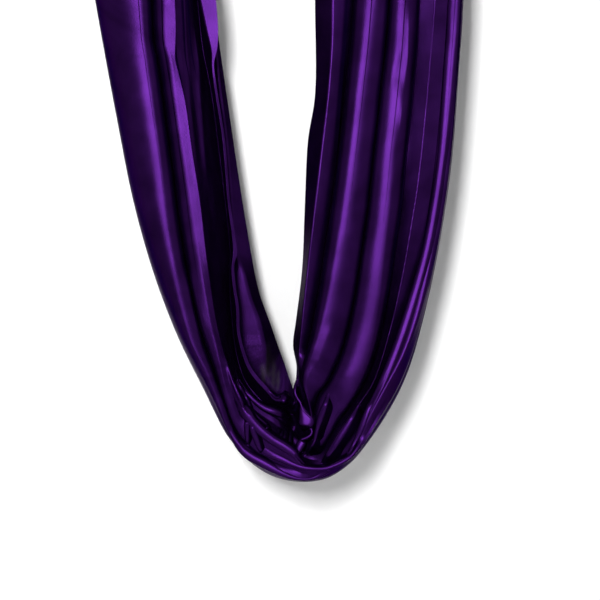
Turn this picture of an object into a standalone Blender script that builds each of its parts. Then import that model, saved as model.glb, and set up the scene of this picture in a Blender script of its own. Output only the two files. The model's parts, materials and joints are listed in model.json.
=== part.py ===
"""Aerial yoga hammock: a gathered cloth loop on two straps, four carabiners and two ceiling anchors.

Run with: blender --background --python part.py
Units are metres and +Z is up. The origin is on the ceiling, midway between the two anchor eyes.
X runs from the left anchor to the right one, and +Y points away from the viewer.
"""

from math import asin, atan2, cos, pi, radians, sin, sqrt

import bmesh
import bpy
from mathutils import Matrix, Vector

# Overall sizes
ANCHOR_SPREAD = 0.600  # between the two ceiling eyes
LOOP_HEIGHT = 1.685  # from the cloth's gathered neck to its lowest point
STRAP_LENGTH = 0.400  # between the centres of a strap's two eyes

# Clearances
SEAT_GAP = 0.0003  # between two pieces that rest on each other
RUNNING_GAP = 0.0003  # round a piece that turns or slides

# Ceiling anchor
PLATE_LENGTH = 0.100
PLATE_WIDTH = 0.050
PLATE_THICKNESS = 0.005
PLATE_CORNER = 0.008
EYE_ROD = 0.010  # diameter of the welded U-eye's rod
EYE_SPAN = 0.034  # between the centres of the eye's two legs
EYE_DROP = 0.030  # from the plate's underside to the centre of the eye's rod

# Lag screws and washers
SCREW_PITCH_X = 0.076
SCREW_PITCH_Y = 0.026
SCREW_DIAMETER = 0.008
SCREW_LENGTH = 0.055  # under its head
SCREW_POINT = 0.010  # length of the tapered point
HEAD_ACROSS_FLATS = 0.013
HEAD_HEIGHT = 0.0053
HOLE_CLEARANCE = 0.0005  # between a screw's shank and its hole, all round
WASHER_DIAMETER = 0.016
WASHER_THICKNESS = 0.0016

# Carabiner: an oval of round rod with a screw gate
ROD = 0.010  # rod's diameter
BEND_RADIUS = 0.020  # of the rod's centre line, at both ends
STRAIGHT = 0.058  # length of the straight sides
HINGE_STUB = 0.006  # rod beside the gate's hinge, below the top bend
NOSE_STUB = 0.012  # rod that the gate closes on, above the bottom bend
NOSE_GAP = 0.0005
PIN_DROP = 0.0065  # from the hinge stub's end to the pin's centre
PIN_DIAMETER = 0.003
PIN_LENGTH = 0.009
TONGUE_THICKNESS = 0.004
TONGUE_WIDTH = 0.008
TONGUE_PAST_PIN = 0.005
EAR_PAST_PIN = 0.0035
SLEEVE_WALL = 0.0027
SLEEVE_LENGTH = 0.020
SLEEVE_FROM_PIN = 0.0085  # from the pin's centre down to the unlocked sleeve's top
SPRING_WIRE = 0.0008
SPRING_DIAMETER = 0.0042  # over its turns
SPRING_LENGTH = 0.014
SPRING_TURNS = 5
SPRING_ROOM = 0.0004  # between the spring and its bore

# Daisy-chain strap
WEBBING_WIDTH = 0.016
WEBBING_THICKNESS = 0.0024
POCKETS = 4
POCKET_PITCH = 0.078
POCKET_ROOM = 0.0075  # how far a pocket stands off the main webbing
TACK_SHARE = 0.22  # part of each pitch that is sewn down
EYE_TAPER = 0.026  # from an eye's centre to where its two sides meet
SHOULDER_SHARE = 1.4  # the same to where the webbing is straight, as a share of the taper

# Tied ends of the cloth
BUNDLE = 0.022  # diameter of the gathered cloth where it passes through a carabiner
KNOT_WIDTH = 0.066
KNOT_DEPTH = 0.060
KNOT_HEIGHT = 0.064
KNOT_DROP = 0.052  # from the carabiner's bottom rod to the knot's middle
KNOT_COLLAR = 0.006  # how far the collar under the knot reaches below it
TAIL_LENGTH = 0.130
TAIL_WIDTH = 0.026
# The tail's path: how far behind the knot, as a share of its reach, and its drop, as a share of its length
TAIL_PATH = ((0.85, 0.06), (1.12, 0.25), (1.18, 0.60), (1.20, 1.00))

# Cloth
NECK_WIDTH = 0.052  # gathered cloth just under a knot
FULL_DEPTH = 0.118  # of the pleated band from front to back
BOTTOM_DEPTH = 0.132  # the same where the band turns under
FOLD_DEPTH = 0.016  # from a ridge to the valleys beside it
POCKET_WIDTH = 0.036  # clear space between the front and back walls at the bottom
POCKET_HEIGHT = 0.320  # above the lowest point, where the walls have come together
LEG_SLIT = 0.003  # the same in the legs, where the walls lie together
EDGE_ROUNDING = 0.22  # part of the band's width that its outer edge is rounded over
HEM_NARROWS_FROM = 0.6  # place across the band from which it gets thinner towards the hem
HEM_DEPTH_SHARE = 0.62  # its depth at the hem, as a share of the full depth
POCKET_REACH = 0.56  # how far the space between the walls reaches from the hem at the bottom, across the band
SLIT_REACH = 0.10  # the same in the legs
STATIONS_PER_SPAN = 1.75  # sections of the band for each section named below
# Places of the main folds across the band, from near its inner hem, at 1, to its outer edge, at 0
RIDGES = (0.90, 0.62, 0.38, 0.19, 0.05)
# The band's outer edge and inner hem from left to right: x and height above the lowest point, of each
BAND = (
    (-0.2625, 0.723, -0.0810, 0.723),
    (-0.2295, 0.543, -0.0600, 0.543),
    (-0.2025, 0.423, -0.0420, 0.423),
    (-0.1725, 0.318, -0.0225, 0.311),
    (-0.1350, 0.221, 0.0030, 0.231),
    (-0.0975, 0.131, 0.0180, 0.183),
    (-0.0600, 0.063, 0.0270, 0.155),
    (-0.0120, 0.018, 0.0330, 0.140),
    (0.0525, 0.000, 0.0368, 0.134),
    (0.1125, 0.023, 0.0400, 0.140),
    (0.1650, 0.086, 0.0420, 0.156),
    (0.1980, 0.146, 0.0410, 0.180),
    (0.2220, 0.221, 0.0400, 0.213),
    (0.2490, 0.341, 0.0465, 0.326),
    (0.2640, 0.438, 0.0525, 0.438),
    (0.2790, 0.558, 0.0660, 0.566),
    (0.2895, 0.723, 0.0675, 0.723),
)
# Where the legs' further sections stand, from the outermost ones above, at 0, to the neck, at 1
UPPER_SHARES = (0.28, 0.58, 0.86, 0.97)

SIDES = (("left", -1), ("right", 1))
ROUND = 12  # sides of a small round piece

# Heights that follow from the sizes above
EYE_Z = -PLATE_THICKNESS - EYE_DROP
UPPER_TOP_Z = EYE_Z + EYE_ROD / 2 + SEAT_GAP + ROD / 2  # centre line of the upper carabiner's top
CARABINER_REACH = STRAIGHT + 2 * BEND_RADIUS  # between the centre lines of its top and its bottom
STRAP_TOP_Z = UPPER_TOP_Z - CARABINER_REACH
STRAP_BOTTOM_Z = STRAP_TOP_Z - STRAP_LENGTH
LOWER_TOP_Z = STRAP_BOTTOM_Z
KNOT_ROD_Z = LOWER_TOP_Z - CARABINER_REACH
KNOT_Z = KNOT_ROD_Z - KNOT_DROP
NECK_Z = KNOT_Z - KNOT_HEIGHT / 2 - KNOT_COLLAR - SEAT_GAP
LOWEST_Z = NECK_Z - LOOP_HEIGHT


def clear_scene():
    for obj in list(bpy.data.objects):
        bpy.data.objects.remove(obj, do_unlink=True)


def new_collection(name):
    collection = bpy.data.collections.new(name)
    bpy.context.scene.collection.children.link(collection)
    return collection


def new_material(name, color, roughness, metallic=0.0):
    material = bpy.data.materials.new(name)
    material.use_nodes = True
    shader = material.node_tree.nodes["Principled BSDF"]
    shader.inputs["Base Color"].default_value = (*color, 1.0)
    shader.inputs["Roughness"].default_value = roughness
    shader.inputs["Metallic"].default_value = metallic
    material.diffuse_color = (*color, 1.0)
    return material


def add_object(name, mesh, material=None):
    """Links a mesh as a part, or as a hidden helper where it has no material."""
    obj = bpy.data.objects.new(name, mesh)
    if material is None:
        HELPERS.objects.link(obj)
        obj.hide_render = True
        obj.display_type = "WIRE"
    else:
        PARTS.objects.link(obj)
        obj.data.materials.append(material)
    return obj


def finish_mesh(name, bm):
    bmesh.ops.recalc_face_normals(bm, faces=bm.faces)
    mesh = bpy.data.meshes.new(name)
    bm.to_mesh(mesh)
    bm.free()
    mesh.shade_smooth()
    mesh.set_sharp_from_angle(angle=radians(40))
    return mesh


def cylinder_mesh(name, radius, length, along_x=False, segments=ROUND):
    """A cylinder about the origin, along Z or along X."""
    bm = bmesh.new()
    bmesh.ops.create_cone(
        bm, cap_ends=True, segments=segments, radius1=radius, radius2=radius, depth=length
    )
    if along_x:
        bmesh.ops.rotate(bm, matrix=Matrix.Rotation(pi / 2, 3, "Y"), verts=bm.verts)
    return finish_mesh(name, bm)


def box_mesh(name, size):
    bm = bmesh.new()
    bmesh.ops.create_cube(bm, size=1.0)
    bmesh.ops.scale(bm, vec=size, verts=bm.verts)
    return finish_mesh(name, bm)


def tube_mesh(name, points, radius, resolution=2):
    """A round tube along the points, with welded caps."""
    curve = bpy.data.curves.new(name, "CURVE")
    curve.dimensions = "3D"
    curve.bevel_depth = radius
    curve.bevel_resolution = resolution
    curve.use_fill_caps = True
    spline = curve.splines.new("POLY")
    spline.points.add(len(points) - 1)
    for point, place in zip(spline.points, points):
        point.co = (*place, 1.0)
    obj = bpy.data.objects.new(name, curve)
    HELPERS.objects.link(obj)
    bpy.context.view_layer.update()
    graph = bpy.context.evaluated_depsgraph_get()
    mesh = bpy.data.meshes.new_from_object(obj.evaluated_get(graph))
    bpy.data.objects.remove(obj, do_unlink=True)
    bm = bmesh.new()
    bm.from_mesh(mesh)
    bmesh.ops.remove_doubles(bm, verts=bm.verts, dist=1e-6)
    return finish_mesh(name, bm)


def outline_mesh(name, outlines, thickness):
    """A flat outline in X and Z with its holes, as thick as asked along Y and centred on Y = 0."""
    curve = bpy.data.curves.new(name, "CURVE")
    curve.dimensions = "2D"
    curve.fill_mode = "BOTH"
    curve.extrude = thickness / 2
    for outline in outlines:
        spline = curve.splines.new("POLY")
        spline.points.add(len(outline) - 1)
        for point, (x, z) in zip(spline.points, outline):
            point.co = (x, z, 0.0, 1.0)
        spline.use_cyclic_u = True
    obj = bpy.data.objects.new(name, curve)
    HELPERS.objects.link(obj)
    bpy.context.view_layer.update()
    graph = bpy.context.evaluated_depsgraph_get()
    mesh = bpy.data.meshes.new_from_object(obj.evaluated_get(graph))
    bpy.data.objects.remove(obj, do_unlink=True)
    bm = bmesh.new()
    bm.from_mesh(mesh)
    bmesh.ops.remove_doubles(bm, verts=bm.verts, dist=1e-6)
    bmesh.ops.transform(bm, matrix=Matrix.Rotation(pi / 2, 4, "X"), verts=bm.verts)
    return finish_mesh(name, bm)


def boolean(obj, helper, operation):
    modifier = obj.modifiers.new(f"{operation.lower()}_{helper.name}", "BOOLEAN")
    modifier.operation = operation
    modifier.solver = "EXACT"
    modifier.object = helper
    helper.parent = obj


def arc(center, radius, start, end, steps):
    """Points of an arc as (u, v) pairs, in steps equal turns from one angle to the other."""
    return [
        (
            center[0] + radius * cos(start + (end - start) * step / steps),
            center[1] + radius * sin(start + (end - start) * step / steps),
        )
        for step in range(steps + 1)
    ]


# Ceiling anchors


def anchor_plate(side, place):
    plate = box_mesh("plate", (PLATE_LENGTH, PLATE_WIDTH, PLATE_THICKNESS))
    obj = add_object(f"{side}_anchor_plate", plate, STEEL)
    obj.location = (place, 0, -PLATE_THICKNESS / 2)
    bm = bmesh.new()
    bm.from_mesh(obj.data)
    corners = [
        edge for edge in bm.edges
        if abs(edge.verts[0].co.z - edge.verts[1].co.z) > PLATE_THICKNESS / 2
    ]
    bmesh.ops.bevel(bm, geom=corners, offset=PLATE_CORNER, segments=3, affect="EDGES", profile=0.5)
    bm.to_mesh(obj.data)
    bm.free()
    half = EYE_SPAN / 2
    bend_z = -PLATE_THICKNESS / 2 - EYE_DROP + half
    bend = [(x, 0, z) for x, z in arc((0, bend_z), half, pi, 2 * pi, 8)]
    path = [(-half, 0, 0), *bend, (half, 0, 0)]
    eye = add_object(f"{side}_eye", tube_mesh("eye", path, EYE_ROD / 2))
    boolean(obj, eye, "UNION")
    for index, (x, y) in enumerate(screw_places()):
        hole = cylinder_mesh("hole", SCREW_DIAMETER / 2 + HOLE_CLEARANCE, 3 * PLATE_THICKNESS)
        cutter = add_object(f"{side}_hole_{index + 1}", hole)
        cutter.location = (x, y, 0)
        boolean(obj, cutter, "DIFFERENCE")


def screw_places():
    return [(i * SCREW_PITCH_X / 2, j * SCREW_PITCH_Y / 2) for i in (-1, 1) for j in (-1, 1)]


def washer_mesh():
    bm = bmesh.new()
    inner = SCREW_DIAMETER / 2 + HOLE_CLEARANCE
    outer = WASHER_DIAMETER / 2
    low, high = -WASHER_THICKNESS / 2, WASHER_THICKNESS / 2
    return turned_mesh(bm, [(outer, high), (outer, low), (inner, low), (inner, high)])


def turned_mesh(bm, profile, segments=ROUND):
    """A ring turned about Z from a closed profile of (radius, z) points."""
    rows = []
    for step in range(segments):
        angle = 2 * pi * step / segments
        rows.append([bm.verts.new((r * cos(angle), r * sin(angle), z)) for r, z in profile])
    for row, after in zip(rows, rows[1:] + rows[:1]):
        for index in range(len(profile)):
            bm.faces.new((row[index], row[index - 1], after[index - 1], after[index]))
    return finish_mesh("turned", bm)


def lag_screw_mesh():
    """Hexagon head below z = 0, shank and tapered point above it."""
    bm = bmesh.new()
    shank = SCREW_DIAMETER / 2
    head = HEAD_ACROSS_FLATS / 2 / cos(pi / 6)
    bmesh.ops.create_cone(
        bm, cap_ends=True, segments=ROUND, radius1=head, radius2=head, depth=HEAD_HEIGHT
    )
    bmesh.ops.translate(bm, vec=(0, 0, -HEAD_HEIGHT / 2), verts=bm.verts)
    for vert in bm.verts:
        angle = atan2(vert.co.y, vert.co.x)
        nearest_flat = round(angle / (pi / 3)) * pi / 3
        vert.co.xy *= (HEAD_ACROSS_FLATS / 2) / cos(angle - nearest_flat) / head
    top = next(face for face in bm.faces if face.normal.z > 0.9)
    bmesh.ops.inset_region(bm, faces=[top], thickness=head / 4)
    for vert in top.verts:
        vert.co.xy = vert.co.xy.normalized() * shank
    rise = SCREW_LENGTH - SCREW_POINT
    for height, radius in ((rise, shank), (SCREW_POINT, shank / 4)):
        extruded = bmesh.ops.extrude_discrete_faces(bm, faces=[top])
        top = extruded["faces"][0]
        for vert in top.verts:
            vert.co.z += height
            vert.co.xy = vert.co.xy.normalized() * radius
    return finish_mesh("lag_screw", bm)


def anchors():
    washer = washer_mesh()
    screw = lag_screw_mesh()
    washer_z = -PLATE_THICKNESS - SEAT_GAP - WASHER_THICKNESS / 2
    screw_z = -PLATE_THICKNESS - 2 * SEAT_GAP - WASHER_THICKNESS
    for side, sign in SIDES:
        place = sign * ANCHOR_SPREAD / 2
        anchor_plate(side, place)
        for index, (x, y) in enumerate(screw_places()):
            ring = add_object(f"{side}_washer_{index + 1}", washer.copy(), STEEL)
            ring.location = (place + x, y, washer_z)
            bolt = add_object(f"{side}_lag_screw_{index + 1}", screw.copy(), STEEL)
            bolt.location = (place + x, y, screw_z)


# Carabiners. Each is modelled about its hinge pin, in the YZ plane, with its gate towards the viewer.


def carabiner_sizes():
    """Heights from the pin's centre: of the two bends' centres, the nose's end and the gate's end."""
    top_bend = PIN_DROP + HINGE_STUB
    bottom_bend = top_bend - STRAIGHT
    nose = bottom_bend + NOSE_STUB
    return top_bend, bottom_bend, nose, nose + NOSE_GAP


def carabiner_body(name, pin_place):
    top_bend, bottom_bend, nose, _ = carabiner_sizes()
    center_y = BEND_RADIUS
    path = [(0, PIN_DROP)]
    path += arc((center_y, top_bend), BEND_RADIUS, pi, 0, 8)
    path += arc((center_y, bottom_bend), BEND_RADIUS, 0, -pi, 8)
    path += [(0, nose)]
    rod = tube_mesh("rod", [(0, y, z) for y, z in path], ROD / 2)
    obj = add_object(name, rod, ANODISED)
    obj.location = pin_place
    overlap = ROD / 5
    tongue_height = PIN_DROP + TONGUE_PAST_PIN + overlap
    tongue_size = (TONGUE_THICKNESS, TONGUE_WIDTH, tongue_height)
    tongue = add_object(f"{name}_tongue", box_mesh("tongue", tongue_size))
    tongue.location = (0, 0, PIN_DROP + overlap - tongue_height / 2)
    boolean(obj, tongue, "UNION")
    hole = cylinder_mesh("hole", PIN_DIAMETER / 2 + RUNNING_GAP, 2 * ROD, True)
    boolean(obj, add_object(f"{name}_pin_hole", hole), "DIFFERENCE")
    return obj


def gate_pin(name, pin_place):
    obj = add_object(name, cylinder_mesh("pin", PIN_DIAMETER / 2, PIN_LENGTH, True), STEEL)
    obj.location = pin_place


def slot_depth():
    """How far the slot reaches below the pin, so that the tongue's corners clear it as the gate opens."""
    return sqrt(TONGUE_PAST_PIN**2 + (TONGUE_WIDTH / 2) ** 2) + 2 * RUNNING_GAP


def gate(name, pin_place):
    *_, end = carabiner_sizes()
    length = EAR_PAST_PIN - end
    obj = add_object(name, cylinder_mesh("gate", ROD / 2, length, segments=16), ANODISED)
    bm = bmesh.new()
    bm.from_mesh(obj.data)
    bmesh.ops.translate(bm, vec=(0, 0, EAR_PAST_PIN - length / 2), verts=bm.verts)
    bm.to_mesh(obj.data)
    bm.free()
    obj.location = pin_place
    slot_width = TONGUE_THICKNESS + 2 * RUNNING_GAP
    reach = slot_depth()
    slot = add_object(f"{name}_slot", box_mesh("slot", (slot_width, 2 * ROD, 2 * reach)))
    boolean(obj, slot, "DIFFERENCE")
    hole = cylinder_mesh("hole", PIN_DIAMETER / 2 + RUNNING_GAP, 2 * ROD, True)
    boolean(obj, add_object(f"{name}_pin_hole", hole), "DIFFERENCE")
    depth = SPRING_LENGTH + SEAT_GAP + RUNNING_GAP + SPRING_WIRE
    bore_mesh = cylinder_mesh("bore", SPRING_DIAMETER / 2 + SPRING_ROOM, depth + ROD)
    bore = add_object(f"{name}_spring_bore", bore_mesh)
    bore.location = (0, 0, -reach - depth + (depth + ROD) / 2)
    boolean(obj, bore, "DIFFERENCE")


def gate_spring(name, pin_place):
    radius = (SPRING_DIAMETER - SPRING_WIRE) / 2
    steps = 8 * SPRING_TURNS
    top = -slot_depth() - RUNNING_GAP - SPRING_WIRE
    rise = SPRING_LENGTH - SPRING_WIRE
    points = []
    for step in range(steps + 1):
        angle = 2 * pi * SPRING_TURNS * step / steps
        points.append((radius * cos(angle), radius * sin(angle), top - rise * step / steps))
    obj = add_object(name, tube_mesh("spring", points, SPRING_WIRE / 2, resolution=1), STEEL)
    obj.location = pin_place


def sleeve(name, pin_place):
    inner = ROD / 2 + RUNNING_GAP
    outer = inner + SLEEVE_WALL
    grip = outer - SLEEVE_WALL / 3
    top = -SLEEVE_FROM_PIN
    bottom = top - SLEEVE_LENGTH
    band = SLEEVE_LENGTH / 5
    upper_half = [(grip, 0), (outer, band / 2), (outer, band), (grip, 1.4 * band)]
    profile = [(inner, top)]
    profile += [(radius, top - drop) for radius, drop in upper_half]
    profile += [(radius, bottom + drop) for radius, drop in reversed(upper_half)]
    profile += [(inner, bottom)]
    obj = add_object(name, turned_mesh(bmesh.new(), profile, segments=16), ANODISED)
    obj.location = pin_place


def carabiners():
    top_bend, *_ = carabiner_sizes()
    for level, top_z in (("upper", UPPER_TOP_Z), ("lower", LOWER_TOP_Z)):
        for side, sign in SIDES:
            name = f"{side}_{level}"
            pin_place = (sign * ANCHOR_SPREAD / 2, -BEND_RADIUS, top_z - BEND_RADIUS - top_bend)
            carabiner_body(f"{name}_carabiner", pin_place)
            gate_pin(f"{name}_gate_pin", pin_place)
            gate(f"{name}_gate", pin_place)
            gate_spring(f"{name}_gate_spring", pin_place)
            sleeve(f"{name}_sleeve", pin_place)


# Straps


def eye_radius():
    """Inside radius of a strap's eye, so that the flat webbing clears the bent rod across its whole width."""
    inside = BEND_RADIUS - ROD / 2
    rise = inside - sqrt(inside**2 - (WEBBING_WIDTH / 2) ** 2)
    return ROD / 2 + rise + SEAT_GAP


def teardrop(radius, tip, up):
    """A round eye about (0, 0) whose sides meet at a point, tip below it, or above it where up is -1."""
    lean = asin(radius / tip)
    points = arc((0, 0), radius, -lean, pi + lean, 16)
    return [(x, up * z) for x, z in points] + [(0, -up * tip)]


def main_webbing(side, place):
    inner = eye_radius()
    outer = inner + WEBBING_THICKNESS
    half = WEBBING_THICKNESS
    shoulder = EYE_TAPER * SHOULDER_SHARE
    lean = asin((outer - half) / shoulder)
    upper = [(half, -shoulder), *arc((0, 0), outer, -lean, pi + lean, 16), (-half, -shoulder)]
    lower = [(-x, -STRAP_LENGTH - z) for x, z in upper]
    upper_hole = teardrop(inner, EYE_TAPER, 1)
    lower_hole = [(x, z - STRAP_LENGTH) for x, z in teardrop(inner, EYE_TAPER, -1)]
    outlines = [[*upper, *lower], upper_hole, lower_hole]
    obj = add_object(f"{side}_strap_webbing", outline_mesh("webbing", outlines, WEBBING_WIDTH), WEBBING)
    obj.location = (place, 0, STRAP_TOP_Z)


def pocket_stand_off(share):
    """How far the pocket webbing stands off the main webbing, at a share of one pitch."""
    middle = (share - TACK_SHARE / 2) / (1 - TACK_SHARE)
    if middle <= 0 or middle >= 1:
        return 0.0
    return POCKET_ROOM * sin(pi * middle) ** 0.8


def pocket_webbing(side, sign, place):
    steps = 12
    length = POCKETS * POCKET_PITCH
    start = -(STRAP_LENGTH - length) / 2
    inside = []
    for step in range(POCKETS * steps + 1):
        share = (step % steps) / steps
        inside.append((pocket_stand_off(share), start - POCKET_PITCH * step / steps))
    seat = WEBBING_THICKNESS + SEAT_GAP
    outline = [(sign * (seat + x), z) for x, z in inside]
    outline += [(sign * (seat + x + WEBBING_THICKNESS), z) for x, z in reversed(inside)]
    name = f"{side}_strap_pockets"
    obj = add_object(name, outline_mesh("pockets", [outline], WEBBING_WIDTH), WEBBING)
    obj.location = (place, 0, STRAP_TOP_Z)


def straps():
    for side, sign in SIDES:
        place = sign * ANCHOR_SPREAD / 2
        main_webbing(side, place)
        pocket_webbing(side, sign, place)


# Cloth


def end_knot(side, place):
    """The gathered cloth over the carabiner's rod, the knot, the collar under it and the tail behind."""
    rod_above = KNOT_ROD_Z - KNOT_Z
    bm = bmesh.new()
    bmesh.ops.create_uvsphere(bm, u_segments=16, v_segments=10, radius=0.5)
    bmesh.ops.scale(bm, vec=(KNOT_WIDTH, KNOT_DEPTH, KNOT_HEIGHT), verts=bm.verts)
    obj = add_object(f"{side}_end_knot", finish_mesh("knot", bm), CLOTH)
    obj.location = (place, 0, KNOT_Z)
    radius = ROD / 2 + SEAT_GAP + BUNDLE / 2
    sunk = KNOT_HEIGHT / 4
    turn = [(x, 0, z) for x, z in arc((0, rod_above), radius, 0, pi, 8)]
    path = [(radius * 0.8, 0, sunk), *turn, (-radius * 0.8, 0, sunk)]
    loop = add_object(f"{side}_knot_loop", tube_mesh("loop", path, BUNDLE / 2))
    boolean(obj, loop, "UNION")
    height = KNOT_HEIGHT / 2 + KNOT_COLLAR
    collar_mesh = cylinder_mesh("collar", NECK_WIDTH / 2, height, segments=16)
    collar = add_object(f"{side}_knot_collar", collar_mesh)
    collar.location = (0, 0, -height / 2)
    boolean(obj, collar, "UNION")
    out = KNOT_DEPTH / 2 + TAIL_WIDTH / 2
    tail_path = [(0, KNOT_DEPTH / 4, 0)]
    tail_path += [(0, out * depth, -TAIL_LENGTH * drop) for depth, drop in TAIL_PATH]
    tail = add_object(f"{side}_knot_tail", tube_mesh("tail", tail_path, TAIL_WIDTH / 2))
    boolean(obj, tail, "UNION")


def blend(a, b, share):
    return a + (b - a) * share


def band_sections():
    """Sections from the left neck to the right one: outer x and z, inner x and z, share up the leg."""
    spread = ANCHOR_SPREAD / 2
    view_top = BAND[0][1]
    legs = []
    for sign, (outer, _, inner, _) in ((-1, BAND[0]), (1, BAND[-1])):
        leg = []
        for share in (*UPPER_SHARES, 1.0):
            height = blend(view_top, LOOP_HEIGHT, share)
            middle = blend((outer + inner) / 2, sign * spread, share**1.1)
            half = blend(abs(outer - inner), NECK_WIDTH, share**1.05) / 2
            leg.append((middle + sign * half, height, middle - sign * half, height, share))
        legs.append(leg)
    shown = [(*section, 0.0) for section in BAND]
    return [*reversed(legs[0]), *shown, *legs[1]]


def smooth(rows, spans):
    """Rows of numbers, made finer by a spline through each column."""
    fine = []
    total = len(rows) - 1
    count = round(total * spans)
    for step in range(count + 1):
        at = total * step / count
        index = min(int(at), total - 1)
        u = at - index
        before, start, end, after = (rows[max(0, min(total, index + k))] for k in (-1, 0, 1, 2))
        row = []
        for a, b, c, d in zip(before, start, end, after):
            bend = 2 * a - 5 * b + 4 * c - d
            twist = 3 * (b - c) + d - a
            row.append(b + 0.5 * u * (c - a + u * (bend + u * twist)))
        fine.append(row)
    return fine


def wall_shape(q):
    """Half depth of the band at a place across it, as a share of its largest, rounded at the outer edge."""
    if q < EDGE_ROUNDING:
        return sqrt(1 - (1 - q / EDGE_ROUNDING) ** 2)
    past = max(0.0, (q - HEM_NARROWS_FROM) / (1 - HEM_NARROWS_FROM))
    return 1 - (1 - HEM_DEPTH_SHARE) * past**1.5


def section_outline(bottom_share, neck_share):
    """Closed outline of the band as (place across, depth) pairs, along the front and back again."""
    full = blend(FULL_DEPTH, BOTTOM_DEPTH, bottom_share) / 2
    half_depth = blend(full, NECK_WIDTH / 2, neck_share)
    shrink = half_depth / (FULL_DEPTH / 2)
    fold = FOLD_DEPTH * shrink
    slit = blend(LEG_SLIT, POCKET_WIDTH, bottom_share) / 2
    reach = blend(SLIT_REACH, POCKET_REACH, bottom_share)
    hem = max(slit + fold / 3, half_depth * wall_shape(1.0) - fold / 2)
    front = [(1.0, -hem)]
    for index, q in enumerate(RIDGES):
        front.append((q, -half_depth * wall_shape(q)))
        if index + 1 < len(RIDGES):
            valley = (q + RIDGES[index + 1]) / 2
            front.append((valley, -half_depth * wall_shape(valley) + fold))
    back = [(q, -depth) for q, depth in reversed(front)]
    pocket = [(1.0, slit), (1 - 0.6 * reach, slit), (1 - reach, 0), (1 - 0.6 * reach, -slit), (1.0, -slit)]
    return [*front, (0.0, 0.0), *back, *pocket]


def hammock_cloth():
    sections = smooth(band_sections(), STATIONS_PER_SPAN)
    bm = bmesh.new()
    rings = []
    for outer_x, outer_z, inner_x, inner_z, up in sections:
        low = max(0.0, 1 - outer_z / POCKET_HEIGHT)
        bottom_share = low * low * (3 - 2 * low)
        neck_share = min(1.0, max(0.0, up)) ** 1.1
        ring = []
        for q, depth in section_outline(bottom_share, neck_share):
            place = Vector((blend(outer_x, inner_x, q), depth, LOWEST_Z + blend(outer_z, inner_z, q)))
            ring.append(bm.verts.new(place))
        rings.append(ring)
    for ring, after in zip(rings, rings[1:]):
        for index in range(len(ring)):
            bm.faces.new((ring[index - 1], ring[index], after[index], after[index - 1]))
    bm.faces.new(rings[0])
    bm.faces.new(list(reversed(rings[-1])))
    add_object("hammock_cloth", finish_mesh("cloth", bm), CLOTH)


clear_scene()
PARTS = new_collection("aerial_yoga_hammock")
HELPERS = new_collection("cutters_and_guides")
CLOTH = new_material("purple_satin_nylon", (0.055, 0.008, 0.13), 0.35)
WEBBING = new_material("black_webbing", (0.02, 0.02, 0.022), 0.8)
ANODISED = new_material("dark_anodised_aluminium", (0.09, 0.09, 0.10), 0.35, 0.9)
STEEL = new_material("zinc_plated_steel", (0.62, 0.63, 0.65), 0.32, 1.0)
anchors()
carabiners()
straps()
for knot_side, knot_sign in SIDES:
    end_knot(knot_side, knot_sign * ANCHOR_SPREAD / 2)
hammock_cloth()
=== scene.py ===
"""Render scene of an aerial yoga hammock: a gathered satin loop on knots, carabiners, straps and plates."""

from __future__ import annotations

import json
import logging
import math
from collections.abc import Callable, Sequence
from dataclasses import dataclass, field
from enum import Enum

import bmesh
import bpy
import numpy as np
from mathutils import Matrix, Vector

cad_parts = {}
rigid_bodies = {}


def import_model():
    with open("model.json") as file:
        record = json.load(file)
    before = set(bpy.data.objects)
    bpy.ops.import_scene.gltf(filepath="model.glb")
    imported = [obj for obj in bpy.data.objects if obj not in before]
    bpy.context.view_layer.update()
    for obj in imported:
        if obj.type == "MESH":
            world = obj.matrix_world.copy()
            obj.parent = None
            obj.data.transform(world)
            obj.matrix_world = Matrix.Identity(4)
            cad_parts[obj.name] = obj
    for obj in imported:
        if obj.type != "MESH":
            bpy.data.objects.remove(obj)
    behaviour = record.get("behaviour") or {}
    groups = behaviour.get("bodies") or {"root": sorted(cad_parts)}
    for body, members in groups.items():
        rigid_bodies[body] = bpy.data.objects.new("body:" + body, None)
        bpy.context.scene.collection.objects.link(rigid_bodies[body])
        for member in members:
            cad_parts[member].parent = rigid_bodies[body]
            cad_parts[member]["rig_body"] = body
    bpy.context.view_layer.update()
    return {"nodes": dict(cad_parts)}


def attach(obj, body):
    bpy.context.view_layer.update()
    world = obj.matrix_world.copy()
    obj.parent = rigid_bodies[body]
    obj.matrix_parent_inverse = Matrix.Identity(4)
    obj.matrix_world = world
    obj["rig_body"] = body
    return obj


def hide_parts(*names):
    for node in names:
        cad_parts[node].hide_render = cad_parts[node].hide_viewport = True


LOG = logging.getLogger("hammock")
FRAME_PX = 600
METRES_PER_PX = 0.0015

Point2 = tuple[float, float]
Point3 = tuple[float, float, float]
Array = np.ndarray
Piece = bpy.types.Object
Finish = bpy.types.Material
Level = bpy.types.NodeSocket
Feed = Level | float | Sequence[float]


def deselect_all() -> None:
    """Leaves no object selected, so that the next operator acts on its own piece only."""
    if bpy.context.mode != "OBJECT":
        bpy.ops.object.mode_set(mode="OBJECT")
    bpy.ops.object.select_all(action="DESELECT")


def activate(obj: Piece) -> None:
    """Selects one object alone and makes it active."""
    deselect_all()
    obj.select_set(True)
    bpy.context.view_layer.objects.active = obj


def settle(obj: Piece) -> Piece:
    """Puts a piece's place, turn and scale into its mesh."""
    activate(obj)
    bpy.ops.object.transform_apply(location=True, rotation=True, scale=True)
    return obj


def placed(name: str, data: bpy.types.ID) -> Piece:
    """Makes an object of a mesh, a lamp or a camera and puts it into the scene."""
    obj = bpy.data.objects.new(name, data)
    bpy.context.scene.collection.objects.link(obj)
    return obj


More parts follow.
